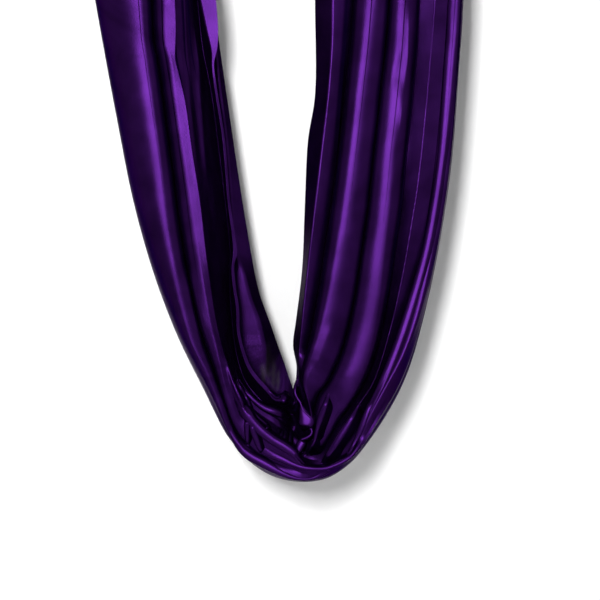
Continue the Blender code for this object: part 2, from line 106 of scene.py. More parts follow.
def block(name: str, size: Point3, middle: Point3 = (0.0, 0.0, 0.0)) -> Piece:
    """Adds a plain block of a given size about its middle."""
    deselect_all()
    bpy.ops.mesh.primitive_cube_add(size=1.0, location=middle)
    piece = bpy.context.active_object
    piece.name, piece.scale = name, size
    return settle(piece)


def netted(name: str, points: Array) -> bpy.types.Mesh:
    """Makes a mesh of points in rows and columns, with a face between each four neighbours."""
    rows, columns = points.shape[:2]
    index = np.arange(rows * columns).reshape(rows, columns)
    quads = np.stack([index[:-1, :-1], index[:-1, 1:], index[1:, 1:], index[1:, :-1]], axis=-1)
    mesh = bpy.data.meshes.new(name)
    mesh.from_pydata(points.reshape(-1, 3).tolist(), [], quads.reshape(-1, 4).tolist())
    return mesh


def map_cloth(mesh: bpy.types.Mesh, pairs: Array) -> None:
    """Gives each corner of a mesh its place on the flat cloth or webbing, in metres."""
    mesh.uv_layers.new(name="UVMap").data.foreach_set("uv", pairs.astype(np.float32).ravel())


def mark(mesh: bpy.types.Mesh, name: str, levels: Array) -> None:
    """Gives each point of a mesh a level that its finish reads."""
    mesh.attributes.new(name, "FLOAT", "POINT").data.foreach_set("value", levels.astype(np.float32).ravel())


def apply_all(obj: Piece) -> Piece:
    """Applies each modifier of a piece in turn."""
    activate(obj)
    for modifier in list(obj.modifiers):
        bpy.ops.object.modifier_apply(modifier=modifier.name)
    return obj


WHITE = (1.0, 1.0, 1.0, 1.0)


class Palette(Enum):
    """Colours of the hammock's own finishes, as linear red, green and blue."""

    CLOTH = (0.0140, 0.0026, 0.0335)
    CLOTH_GLOSS = (0.415, 0.37, 0.44)
    # Not a colour of the cloth: painted light of the white backdrop seen through thin cloth, greyer and
    # lighter than the dye
    CLOTH_SHEER = (0.030, 0.020, 0.040)
    WEBBING = (0.020, 0.020, 0.022)
    THREAD = (0.060, 0.060, 0.065)
    ANODISED = (0.075, 0.075, 0.085)
    BARE_ALLOY = (0.52, 0.52, 0.53)
    ZINC = (0.62, 0.63, 0.65)
    BOARD = (0.96, 0.96, 0.96)


class Tree:
    """A short way to add and join the nodes of one material."""

    def __init__(self, name: str) -> None:
        """Starts a material with its Principled shader.

        Args:
            name: The material's name.
        """
        self.material = bpy.data.materials.new(name)
        self.material.use_nodes = True
        self.nodes = self.material.node_tree.nodes
        self.links = self.material.node_tree.links
        self.shader = self.nodes["Principled BSDF"]

    def feed(self, target: Level, value: Feed) -> None:
        """Links a level to an input, or gives the input a plain value."""
        if isinstance(value, Level):
            self.links.new(value, target)
        else:
            target.default_value = value

    def add(self, kind: str, feeds: dict[str, Feed] | None = None, **values: object) -> bpy.types.Node:
        """Adds a node, sets its own properties and feeds its inputs.

        Args:
            kind: The node's type without its ShaderNode prefix.
            feeds: What each input gets, by the input's name.
            values: Properties of the node.

        Returns:
            The new node.
        """
        node = self.nodes.new(f"ShaderNode{kind}")
        for key, value in values.items():
            setattr(node, key, value)
        for key, value in (feeds or {}).items():
            self.feed(node.inputs[key], value)
        return node

    def math(self, operation: str, *levels: Feed) -> Level:
        """Works out a level from others and from plain numbers, in their order."""
        node = self.add("Math", operation=operation)
        for target, level in zip(node.inputs, levels):
            self.feed(target, level)
        return node.outputs["Value"]

    def shade(self, name: str, value: Feed) -> None:
        """Feeds one input of the shader."""
        self.feed(self.shader.inputs[name], value)

    def base(self, color: Point3, roughness: float, metallic: float = 0.0) -> None:
        """Sets the shader's plain values."""
        self.shade("Base Color", (*color, 1.0))
        self.shade("Roughness", roughness)
        self.shade("Metallic", metallic)
        self.material.diffuse_color = (*color, 1.0)

    def noise(self, vector: Level, scale: float, detail: float) -> Level:
        """Adds cloudy noise over a vector and gives its level."""
        return self.add("TexNoise", {"Scale": scale, "Detail": detail, "Vector": vector}).outputs["Fac"]

    def stretched(self, vector: Level, scale: Point3) -> Level:
        """Scales a vector by its own amount along each axis."""
        return self.add("Mapping", {"Scale": scale, "Vector": vector}).outputs["Vector"]

    def tones(self, level: Level, color: Point3, dark: float, light: float) -> Level:
        """Spreads one colour between a darker and a lighter tone of itself."""
        ramp = self.add("ValToRGB", {"Fac": level})
        for element, place, share in zip(ramp.color_ramp.elements, (0.35, 0.65), (dark, light)):
            element.position = place
            element.color = (*(min(share * c, 1.0) for c in color), 1.0)
        return ramp.outputs["Color"]

    def blend(self, level: Level, tone: Level, color: Point3) -> Level:
        """Goes over from a tone to a plain colour as a level rises."""
        mix = self.add("Mix", {"Factor": level, "A": tone, "B": (*color, 1.0)}, data_type="RGBA")
        return mix.outputs["Result"]

    def span(self, level: Level, low: float, high: float, source: Point2 = (0.0, 1.0)) -> Level:
        """Maps a level from its source range to another."""
        limits = {"From Min": source[0], "From Max": source[1], "To Min": low, "To Max": high}
        return self.add("MapRange", {**limits, "Value": level}).outputs["Result"]

    def stray(self, level: Level, roughness: float, less: float, more: float) -> None:
        """Lets the roughness stray with a level, below and above its plain value."""
        self.shade("Roughness", self.span(level, roughness - less, roughness + more))

    def raise_by(self, level: Level, strength: float, distance: float) -> None:
        """Raises the surface by a level."""
        bump = self.add("Bump", {"Strength": strength, "Distance": distance, "Height": level})
        self.shade("Normal", bump.outputs["Normal"])


def shown_rays(tree: bpy.types.NodeTree) -> Level:
    """A level of 1 for rays from the camera, a reflection or through glass, and 0 for the lighting's own."""
    path = tree.nodes.new("ShaderNodeLightPath")
    level = path.outputs["Is Camera Ray"]
    for kind in ("Is Glossy Ray", "Is Transmission Ray"):
        either = tree.nodes.new("ShaderNodeMath")
        either.operation = "MAXIMUM"
        tree.links.new(level, either.inputs[0])
        tree.links.new(path.outputs[kind], either.inputs[1])
        level = either.outputs["Value"]
    return level


@dataclass(frozen=True)
class SatinCloth:
    """Dyed satin-faced nylon tricot: its bright filaments give a deep body colour and a tinted gloss."""

    roughness: float = 0.30
    filament_share: float = 0.88
    wale: float = 0.0009
    wale_scale: float = 0.32
    wale_wander: float = 0.6
    wale_height: float = 0.0003
    bump: float = 0.10
    clouds: float = 22.0

    def make(self) -> Finish:
        """Builds the cloth's material.

        Returns:
            A material that reads the cloth's own UV map, in metres.
        """
        tree = Tree("purple_satin_tricot")
        tree.base(Palette.CLOTH.value, self.roughness, self.filament_share)
        tree.shade("Specular IOR Level", 0.0)
        tree.shade("Specular Tint", (*Palette.CLOTH_GLOSS.value, 1.0))
        flat = tree.add("UVMap", uv_map="UVMap").outputs["UV"]
        fine = tree.stretched(flat, (1.0 / self.wale, 1.0 / self.wale, 1.0))
        bands = {"Scale": self.wale_scale, "Distortion": self.wale_wander, "Vector": fine}
        wale = tree.add("TexWave", bands, wave_type="BANDS", bands_direction="Y")
        cloudy = tree.noise(flat, self.clouds, 4.0)
        tone = tree.tones(cloudy, Palette.CLOTH.value, 0.80, 1.20)
        # The patches marked in the mesh turn greyer and lighter: painted light of the backdrop showing
        # through thin cloth
        see_through_paint = tree.add("Attribute", attribute_name="see_through_paint").outputs["Fac"]
        tree.shade("Base Color", tree.blend(see_through_paint, tone, Palette.CLOTH_SHEER.value))
        tree.stray(cloudy, self.roughness, 0.04, 0.06)
        tree.raise_by(wale.outputs["Fac"], self.bump, self.wale_height)
        return tree.material


@dataclass(frozen=True)
class BoardPaint:
    """Plain white paint of the floor and of the board close behind the loop.

    Attributes:
        name: Name of the paint.
        glow: What the camera sees on top of the lamps' light, where 1 is white.
        fades: Whether it clears toward the board's rims and from behind, so that it hides nothing.
        rims: Axis of each rim, where the paint is clear and where it is full, in metres.
    """

    name: str
    glow: float
    fades: bool = False
    rims: tuple[tuple[str, float, float], ...] = (("X", -0.72, -0.52), ("X", 0.86, 0.66), ("Z", -1.42, -1.60))

    def make(self) -> Finish:
        """Builds the paint."""
        tree = Tree(self.name)
        tree.base(Palette.BOARD.value, 1.0)
        tree.shade("Specular IOR Level", 0.0)
        tree.shade("Emission Color", WHITE)
        tree.shade("Emission Strength", tree.math("MULTIPLY", shown_rays(tree.material.node_tree), self.glow))
        if not self.fades:
            return tree.material
        split = tree.add("SeparateXYZ", {"Vector": tree.add("TexCoord").outputs["Object"]})
        shown = tree.math("SUBTRACT", 1.0, tree.add("NewGeometry").outputs["Backfacing"])
        for axis, clear, full in self.rims:
            feeds = {"From Min": clear, "From Max": full, "Value": split.outputs[axis]}
            rim = tree.add("MapRange", feeds, interpolation_type="SMOOTHSTEP")
            shown = tree.math("MULTIPLY", shown, rim.outputs["Result"])
        tree.shade("Alpha", shown)
        return tree.material


@dataclass(frozen=True)
class PhotoView:
    """The photograph's camera: level with the loop, a little above it."""

    aim: Point3 = (0.045, 0.0, -2.123)
    distance: float = 2.8
    elevation: float = math.radians(2.0)

    def axes(self) -> tuple[Array, Array, Array]:
        """The camera's right, up and forward directions."""
        e = self.elevation
        right = np.array([1.0, 0.0, 0.0])
        up = np.array([0.0, math.sin(e), math.cos(e)])
        forward = np.array([0.0, math.cos(e), -math.sin(e)])
        return right, up, forward

    def eye(self) -> Array:
        """Where the camera stands."""
        return np.array(self.aim) - self.axes()[2] * self.distance

    def on_ray(self, px: Array, py: Array, depth: Array) -> Array:
        """Places picture points in space.

        Args:
            px: Picture columns, 0 at the left.
            py: Picture rows, 0 at the top.
            depth: The wanted Y of each point, in metres.

        Returns:
            World points, one row each.
        """
        right, up, forward = self.axes()
        focal = self.distance / METRES_PER_PX
        half = FRAME_PX / 2
        ray = forward + right * ((px - half) / focal)[..., None] + up * ((half - py) / focal)[..., None]
        eye = self.eye()
        reach = (depth - eye[1]) / ray[..., 1]
        return eye + ray * reach[..., None]

    def build(self) -> Piece:
        """Makes the camera and gives it to the scene."""
        data = bpy.data.cameras.new("photo_camera")
        data.sensor_width = 36.0
        data.lens = data.sensor_width * self.distance / (FRAME_PX * METRES_PER_PX)
        camera = placed("photo_camera", data)
        right, up, forward = self.axes()
        turn = Matrix((Vector(right), Vector(up), Vector(-forward))).transposed()
        camera.matrix_world = Matrix.Translation(Vector(self.eye())) @ turn.to_4x4()
        bpy.context.scene.camera = camera
        return camera


@dataclass
class Studio:
    """Soft lamps, a pale floor and a white board close behind the loop that takes its shadow."""

    board_y: float = 0.115
    board_spans: tuple[float, float, float, float] = (-0.75, 0.90, -2.90, -1.40)
    floor_z: float = -2.90
    floor_size: float = 14.0
    key_power: float = 88.0
    key_size: Point2 = (0.46, 0.72)
    key_side: float = math.radians(9.0)
    key_rise: float = math.radians(12.0)
    key_distance: float = 3.0
    fill_power: float = 4.5
    fill_place: Point3 = (2.2, -2.6, -1.0)
    fill_size: Point2 = (2.0, 2.0)
    world_light: float = 0.10
    lit: Point3 = (0.05, 0.0, -2.05)

    def board(self, name: str, size: Point2, middle: Point3, tilt: float, paint: BoardPaint) -> None:
        """Stands one flat board in the studio.

        Args:
            name: The board's name.
            size: Its width and its other side.
            middle: Its middle.
            tilt: Its turn about X, where 0 is level.
            paint: Its paint.
        """
        deselect_all()
        bpy.ops.mesh.primitive_plane_add(size=1.0, location=middle, rotation=(tilt, 0.0, 0.0))
        board = bpy.context.active_object
        board.name, board.scale = name, (*size, 1.0)
        board.data.materials.append(paint.make())
        settle(board)

    def boards(self) -> None:
        """Makes the floor and the board behind the loop."""
        left, right, low, high = self.board_spans
        floor, wall = BoardPaint("white_floor", 0.5), BoardPaint("white_board", 0.04, True)
        self.board("pale_floor", (self.floor_size, self.floor_size), (0.0, 0.0, self.floor_z), 0.0, floor)
        middle = ((left + right) / 2, self.board_y, (low + high) / 2)
        self.board("shadow_board", (right - left, high - low), middle, math.pi / 2, wall)

    def lamp(self, name: str, place: Point3, aim: Point3, size: Point2, power: float) -> None:
        """Adds one softbox.

        Args:
            name: The lamp's name.
            place: Where it hangs.
            aim: What it points at.
            size: Its width and height.
            power: Its power in watts.
        """
        data = bpy.data.lights.new(name, "AREA")
        data.shape = "RECTANGLE"
        data.size, data.size_y = size
        data.energy = power
        lamp = placed(name, data)
        lamp.location = place
        lamp.rotation_euler = (Vector(aim) - Vector(place)).to_track_quat("-Z", "Y").to_euler()

    def world(self) -> None:
        """Sets the even light, and the white that the camera sees past the backdrop."""
        world = bpy.data.worlds.new("studio_world")
        world.use_nodes = True
        nodes, links = world.node_tree.nodes, world.node_tree.links
        ground = nodes["Background"]
        ground.inputs["Color"].default_value = WHITE
        strength = nodes.new("ShaderNodeMapRange")
        strength.inputs["To Min"].default_value = self.world_light
        strength.inputs["To Max"].default_value = 1.0
        links.new(shown_rays(world.node_tree), strength.inputs["Value"])
        links.new(strength.outputs["Result"], ground.inputs["Strength"])
        bpy.context.scene.world = world

    def build(self) -> None:
        """Makes the whole studio."""
        self.boards()
        aim = Vector(self.lit)
        across = math.cos(self.key_rise) * self.key_distance
        key = aim + Vector(
            (
                -across * math.sin(self.key_side),
                -across * math.cos(self.key_side),
                self.key_distance * math.sin(self.key_rise),
            )
        )
        self.lamp("key_lamp", key, aim, self.key_size, self.key_power)
        self.lamp("fill_lamp", self.fill_place, aim, self.fill_size, self.fill_power)
        self.world()
        bpy.context.scene.view_settings.view_transform = "Standard"


# The cloth


class Cut(Enum):
    """The sheet before it is gathered, in metres."""

    WIDTH = 2.8
    LENGTH = 4.0


# The picture point that the bottom of the loop turns about, and how much turn a picture row of a leg counts
CROOK = (286.0, 345.0)
DEGREES_PER_PX = 0.5


def turn_of(px: Array, py: Array) -> Array:
    """How far along the loop a picture point lies.

    Args:
        px: Picture columns.
        py: Picture rows.

    Returns:
        Below 0 on the left leg, 0 to 180 round the bottom, above 180 on the right leg.
    """
    px, py = np.asarray(px, float), np.asarray(py, float)
    across, down = px - CROOK[0], py - CROOK[1]
    bottom = np.degrees(np.arctan2(down, -across))
    left = down * DEGREES_PER_PX
    right = 180.0 - down * DEGREES_PER_PX
    return np.where(down >= 0, bottom, np.where(across < 0, left, right))


def dense_curve(points: Array, steps: int = 14, measured: int = 2) -> Array:
    """A smooth curve through chosen points, with even sharpness whatever their spacing.

    Args:
        points: One row for each point.
        steps: Points made for each interval.
        measured: How many of the first columns are the point's place, and give its distances.

    Returns:
        Rows along the curve.
    """
    ends = np.vstack([2 * points[0] - points[1], points, 2 * points[-1] - points[-2]])
    span = np.linalg.norm(np.diff(ends[:, :measured], axis=0), axis=1) ** 0.5
    knot = np.concatenate([[0.0], np.cumsum(np.maximum(span, 1e-3))])
    made = []
    for i in range(1, len(ends) - 2):
        t = np.linspace(knot[i], knot[i + 1], steps, endpoint=False)[:, None]
        t0, t1, t2, t3 = knot[i - 1 : i + 3]
        p0, p1, p2, p3 = ends[i - 1 : i + 3]
        a1 = (t1 - t) / (t1 - t0) * p0 + (t - t0) / (t1 - t0) * p1
        a2 = (t2 - t) / (t2 - t1) * p1 + (t - t1) / (t2 - t1) * p2
        a3 = (t3 - t) / (t3 - t2) * p2 + (t - t2) / (t3 - t2) * p3
        b1 = (t2 - t) / (t2 - t0) * a1 + (t - t0) / (t2 - t0) * a2
        b2 = (t3 - t) / (t3 - t1) * a2 + (t - t1) / (t3 - t1) * a3
        made.append((t2 - t) / (t2 - t1) * b1 + (t - t1) / (t2 - t1) * b2)
    made.append(points[-1:])
    return np.concatenate(made)


def ease(x: Array, low: float, high: float) -> Array:
    """A smooth step from 0 at low to 1 at high."""
    t = np.clip((np.asarray(x, float) - low) / (high - low), 0.0, 1.0)
    return t * t * (3 - 2 * t)


class Strand:
    """One fold line of the cloth, followed from the left leg round the bottom and up the right leg."""

    def __init__(self, points: tuple[Point3, ...]) -> None:
        """Keeps the line's points in their order along the loop.

        Args:
            points: Picture column, picture row and depth in millimetres of each chosen point.
        """
        curve = dense_curve(np.array(points, float))
        turns = np.maximum.accumulate(turn_of(curve[:, 0], curve[:, 1]))
        keep = np.concatenate([[True], np.diff(turns) > 1e-6])
        self.turns, self.curve = turns[keep], curve[keep]

    def at(self, turns: Array) -> Array:
        """The line's picture place and depth at each turn."""
        return np.column_stack([np.interp(turns, self.turns, column) for column in self.curve.T])


STRANDS: dict[str, tuple[Point3, ...]] = {
    # the inner hem: lip on the left leg, tucked behind on the right leg
    "hem": (
        (216, 0, -34), (218, 30, -34), (217, 50, -33), (214, 62, -32), (216, 82, -30), (225, 140, -26),
        (230, 200, -24), (237, 257, -20), (234.5, 262, -20), (236, 288, -20), (239, 307, -20),
        (240, 332, -20), (244, 349, -20), (251, 367, -20), (259, 378, -20), (269, 389, -20),
        (276, 397, -18), (280, 396, -16), (285, 393, -12), (290, 396, -8), (294, 399, 0), (300, 390, 18),
        (301, 372, 24), (300, 352, 24), (300, 320, 22), (307, 270, 20), (310, 200, 20), (313, 140, 20),
        (319, 95, 20), (319, 0, 20),
    ),
    # the roll beside the hem: edge of the lit patch on the left, inner outline on the right
    "roll": (
        (199, 0, -33.4), (206, 30, -33.4), (211.5, 52, -33), (212, 66, -31.5), (213.5, 82, -30.5),
        (222.5, 140, -27), (227.5, 200, -25), (233, 250, -21), (231.5, 270, -21), (233, 288, -21),
        (236, 307, -21), (237, 332, -21), (241, 350, -21), (248, 369, -21), (256.5, 381, -21),
        (267, 392, -21), (275, 400.5, -20), (281, 401, -19), (287, 401, -17), (293, 406, -14),
        (297, 398, -6), (295.5, 388, -4), (296.5, 366, -4), (293, 345, -4), (296, 320, -4), (302, 270, -4),
        (305, 200, -4), (308, 140, -4), (315, 95, -4), (315, 0, -4),
    ),
    "a": (
        (197.5, 0, -8), (203, 50, -6), (211, 90, -4), (219, 150, -2), (225, 200, -2), (230, 250, 2),
        (230, 290, 6), (233, 330, 9), (237, 356, 8), (244, 378, 6), (253, 392, 4), (263, 402, 1),
        (275, 409, -2), (286, 413, -4), (296, 414, -6), (301, 400, -26), (298.5, 386, -34),
        (298.5, 374, -38), (298.5, 358, -40), (302, 320, -41), (307, 270, -40), (314, 210, -40),
        (322.5, 140, -38), (328, 91, -38), (331.5, 42, -38), (332, 0, -38),
    ),
    "b": (
        (195, 0, -17), (200, 50, -15), (208, 90, -12), (216, 150, -9), (222, 200, -9), (227, 250, -6),
        (228, 290, -2), (231, 335, -5), (235, 365, -12), (242, 387, -20), (252, 399, -24), (264, 407, -25),
        (276, 413, -26), (287, 419, -24), (296, 428, -16), (303, 435, -26), (309, 430, -40),
        (311, 416, -46), (307.5, 400, -50), (304, 388, -53), (304, 377, -55), (308, 366, -56),
        (318, 341, -57), (330, 299, -57), (341, 243, -57), (346, 216, -57), (356, 140, -57),
        (361.5, 91, -57), (368, 42, -57), (374, 0, -57),
    ),
    "c": (
        (192, 0, -26), (197, 50, -24), (204, 90, -21), (212, 150, -18), (218, 200, -17), (223.5, 250, -14),
        (226, 290, -11), (229, 335, -13), (234, 370, -18), (240, 392, -24), (251, 406, -24),
        (263, 416, -24), (275, 424, -24), (286, 432, -24), (296, 441, -24), (304, 449, -32),
        (314, 446, -40), (325, 430, -46), (334, 414, -52), (345, 403, -56), (356, 384, -59),
        (370, 348, -60), (378, 306, -60), (385, 243, -60), (389, 210, -60), (393, 154, -60),
        (398, 112, -60), (401, 79, -60), (404, 49, -60), (405, 0, -60),
    ),
    "d": (
        (188.5, 0, -35), (192, 50, -33), (199, 90, -31), (207, 150, -28), (214, 200, -26),
        (219.5, 250, -23), (223, 290, -20), (227, 335, -21), (235, 374, -26), (242, 394, -30),
        (251, 410, -32), (263, 422, -32), (276, 433, -32), (287, 443, -34), (297, 452, -36),
        (306, 458, -36), (315, 460, -38), (323, 459, -42), (332, 450, -48), (343, 430, -50),
        (360, 403, -49), (373, 383, -46), (389, 334, -43), (402, 278, -42), (413, 215, -41),
        (418, 182, -41), (427, 98, -41), (435, 0, -41),
    ),
    "e": (
        (185, 0, -43), (187.5, 50, -42), (194, 100, -40), (202, 150, -37), (209.5, 200, -35),
        (215.5, 250, -32), (219.5, 290, -29), (225, 335, -30), (232.5, 378, -38), (243, 403, -42),
        (252, 417, -42), (264, 430, -42), (278, 441, -42), (289, 449, -44), (298, 457.5, -46),
        (304, 462, -46), (314, 464.5, -44), (326, 463.5, -44), (337, 458.5, -48), (347, 452, -54),
        (355, 444, -58), (362, 434, -60), (370, 420, -61), (384, 393, -61), (405, 355, -60),
        (420.5, 313, -55), (434, 257, -47), (442.5, 210, -44), (448.5, 168, -44), (453.7, 112, -44),
        (457.6, 56, -44), (461, 0, -44),
    ),
    # the crease that ends as the band's top edge
    "crease": (
        (175, 0, -56.6), (176, 25, -56.6), (175.5, 45, -56.6), (175, 58, -56.4), (179, 75, -56.3),
        (185, 100, -56.2), (192, 150, -56.2), (200, 200, -56.2), (206.5, 257, -56), (214.5, 313, -53),
        (222.5, 348, -50), (228, 365, -50), (235, 386, -53), (245, 409, -57), (255, 420, -59),
        (272, 436, -62), (287, 447.5, -65), (296, 457.5, -67), (301, 464, -68), (311, 467.5, -69),
        (325, 467, -69), (338, 461.5, -68), (350, 455, -66), (357.5, 447, -64), (365, 437, -60),
        (378, 415, -54), (393, 392, -51), (408, 359, -47), (423.2, 310, -43), (435.6, 257, -42),
        (449.8, 168, -42), (459.2, 56, -42), (462.4, 0, -42),
    ),
    "second": (
        (166, 0, -57), (165.5, 25, -57), (166.5, 42, -57), (171.5, 58, -57), (174, 75, -57),
        (177, 100, -57), (184, 150, -57), (191.5, 200, -57), (199.5, 257, -57), (209.5, 313, -57),
        (217.5, 348, -57), (224.5, 382, -56), (231, 404, -54), (242, 429, -52), (262, 449.5, -55),
        (280, 458.5, -60), (294, 464.5, -65), (303, 468.3, -68), (311, 470.3, -69), (325, 470, -69),
        (339, 464.5, -68), (351.5, 457.5, -66), (360, 449, -63), (367.5, 438.5, -60), (380.5, 416.5, -54),
        (395, 392.5, -47), (409.5, 360, -41), (424.2, 310, -35), (436.2, 257, -30), (450.3, 168, -26),
        (459.6, 56, -24), (462.9, 0, -24),
    ),
    "first": (
        (138, 0, -56), (144, 60, -56), (151, 110, -56), (157, 155, -56), (164, 220, -56), (170.5, 257, -56),
        (179.5, 299, -56), (191.5, 341, -56), (207.5, 376, -55), (218, 402, -54), (233, 439, -54),
        (251, 455, -57), (269, 465.5, -61), (288, 473.5, -64), (305, 479.5, -65), (329, 475.3, -58),
        (353, 457.8, -50), (378.5, 422, -42), (398, 389, -34), (410.8, 358, -28), (424.8, 310, -23),
        (436.6, 257, -20), (450.6, 168, -17), (459.9, 56, -15), (463.2, 0, -14),
    ),
    "edge": (
        (95, 0, 4), (103, 45, 4), (117, 120, 4), (133, 200, 4), (152.5, 270, 4), (177, 335, 4),
        (204, 390, 4), (225, 432, 2), (236, 447, 0), (250, 462, 0), (270, 475, 0), (288, 480.5, 0),
        (305, 482, 0), (318, 480.7, 0), (330, 477, 0), (343, 469, 0), (355, 458.5, 2), (380, 425, 4),
        (400, 390, 4), (412, 360, 4), (425.5, 310, 4), (437, 257, 4), (451, 168, 4), (460.3, 50, 4),
        (463.5, 0, 4),
    ),
    # the back wall's inner part, seen past the lip, and its hem
    "panel": (
        (192, 0, 34), (205, 50, 34), (209, 90, 34), (217, 160, 34), (223, 230, 34), (226, 290, 33),
        (228, 335, 33), (237, 366, 33), (252, 390, 36), (270, 404, 38), (284, 404, 40), (298, 412, 44),
        (316, 410, 46), (330, 380, 46), (334, 345, 46), (334, 260, 44), (338, 120, 44), (344, 0, 44),
    ),
    "line_b": (
        (210, 0, 31), (216, 45, 31), (221, 90, 31), (227, 140, 31), (233, 220, 31), (236, 250, 31),
        (240, 264, 30.5), (244, 273, 30), (249, 290, 30), (252, 300, 30), (260, 320, 30), (263, 334, 30),
        (265.5, 347, 30), (265.5, 360, 31), (266, 378, 32), (276, 392, 34), (288, 398, 36), (300, 402, 40),
        (317, 395, 42), (326, 365, 42), (328, 345, 42), (328, 260, 40), (332, 120, 40), (338, 0, 40),
    ),
    "back_hem": (
        (214, 0, 36), (219.5, 45, 37), (226, 90, 38), (232.5, 135, 38), (245.5, 220, 40), (258.5, 290, 42),
        (266, 312, 42), (270.5, 324, 42), (277, 343, 42), (283.5, 361, 42), (291, 383, 40),
        (295.5, 393, 40), (306, 394, 42), (316, 380, 44), (322, 360, 44), (322, 345, 44), (322, 260, 42),
        (326, 120, 42), (332, 0, 42),
    ),
}


@dataclass(frozen=True)
class Pleat:
    """The cloth between two fold lines of the front wall.

    Attributes:
        first: Fold line that the pleat starts from.
        last: Fold line that it ends at.
        columns: Mesh columns on each side of its shown valley.
        dips: Depth of the shown valley below the deeper line, in millimetres, at each of the dip turns.
        tucked: Whether the valley runs on into a tuck that reaches the back of the bundle.
    """

    first: str
    last: str
    columns: int
    dips: tuple[float, ...]
    tucked: bool = True


DIP_TURNS = (-20.0, 50.0, 88.0, 135.0, 200.0, 270.0)
FRONT_PLEATS = (
    Pleat("hem", "roll", 3, (0.4, 0.4, 0.4, 0.4, 0.4, 0.4), False),
    Pleat("roll", "a", 7, (0.0, 1.0, 2.0, 0.0, 0.0, 0.0), False),
    Pleat("a", "b", 9, (0.0, 0.5, 3.0, 4.0, 13.0, 14.0)),
    Pleat("b", "c", 9, (0.0, 7.0, 6.0, 17.0, 17.0, 17.0)),
    Pleat("c", "d", 9, (0.0, 1.0, 4.0, 14.0, 11.0, 10.0)),
    Pleat("d", "e", 9, (0.0, 2.0, 6.0, 12.0, 9.0, 6.0)),
    Pleat("e", "crease", 6, (0.0, 8.0, 4.0, 0.0, 0.0, 0.0)),
    Pleat("crease", "second", 9, (0.2, 7.0, 0.2, 0.0, 0.0, 0.0)),
    Pleat("second", "first", 10, (20.0, 8.0, 6.0, 0.0, 0.0, 0.0)),
)
ROUND = (2.0, 2.0)
# Fullness of each crest on the left leg and on the right one, where 2 is round, 1 sharp and more is flatter
CRESTS: dict[str, Point2] = {
    "a": (1.8, 1.45),
    "b": (2.2, 2.2),
    "c": (2.2, 2.2),
    "d": (1.7, 1.0),
    "e": (2.5, 2.5),
    "crease": (2.3, 2.3),
    "second": (2.0, 2.2),
    "first": (2.1, 2.1),
}
# A tuck's hidden points: share of the way across to its valley and share of the way down to its floor
TUCK_STEPS = ((0.9985, 0.3), (0.999, 0.7))
# Where painted light of the white backdrop shows through thin cloth beside the V: middle and half width and
# height of each patch, in picture points
SEE_THROUGH_PAINT_PATCHES = (
    (263.5, 374.0, 2.2, 12.0),
    (268.5, 362.0, 2.0, 20.0),
    (273.5, 372.0, 2.4, 17.0),
    (278.0, 380.0, 1.8, 9.0),
)


@dataclass(frozen=True)
class Crimp:
    """One small fold of the front wall.

    Attributes:
        line: Picture places that it follows.
        width: Half its width, in picture points.
        height: How far it stands toward the viewer, in millimetres; a groove is negative.
    """

    line: tuple[Point2, ...]
    width: float
    height: float

    def lift(self, px: Array, py: Array) -> Array:
        """How far the fold lifts each picture place, in millimetres."""
        line = dense_curve(np.array(self.line, float), 5)
        step = np.diff(line, axis=0)
        length = np.hypot(*step.T)
        run = np.concatenate([[0.0], np.cumsum(length)])
        best = np.full(px.shape, 1e9)
        along = np.zeros(px.shape)
        for (x, y), (dx, dy), size, start in zip(line, step, length, run):
            t = np.clip(((px - x) * dx + (py - y) * dy) / size**2, 0.0, 1.0)
            away = np.hypot(px - x - t * dx, py - y - t * dy)
            nearer = away < best
            best = np.where(nearer, away, best)
            along = np.where(nearer, start + t * size, along)
        taper = ease(np.minimum(along, run[-1] - along), 0.0, max(0.25 * run[-1], 1e-6))
        return self.height * np.exp(-((best / self.width) ** 2)) * (0.15 + 0.85 * taper)


CRIMPS = (
    Crimp(((116, 14), (121, 67), (134, 140), (150, 215)), 6.0, 1.0),
    Crimp(((186, 268), (192, 292), (199, 318), (206, 342)), 5.0, 4.5),
    Crimp(((198, 10), (199, 60), (202, 120), (208, 190)), 2.8, 3.0),
    Crimp(((187, 60), (192, 120), (199, 180)), 2.6, 2.0),
    Crimp(((226, 359), (234, 385), (244, 408)), 2.4, 2.5),
    Crimp(((404, 50), (400, 68), (396, 86)), 2.4, -2.2),
    Crimp(((402, 90), (404, 140), (397, 190)), 3.0, 2.6),
    Crimp(((291, 400), (292, 418), (293, 438)), 8.0, -18.0),
    Crimp(((412, 0), (410, 50), (406, 112)), 2.4, 3.0),
    Crimp(((334, 323), (326, 345), (317, 372)), 3.2, 2.6),
)


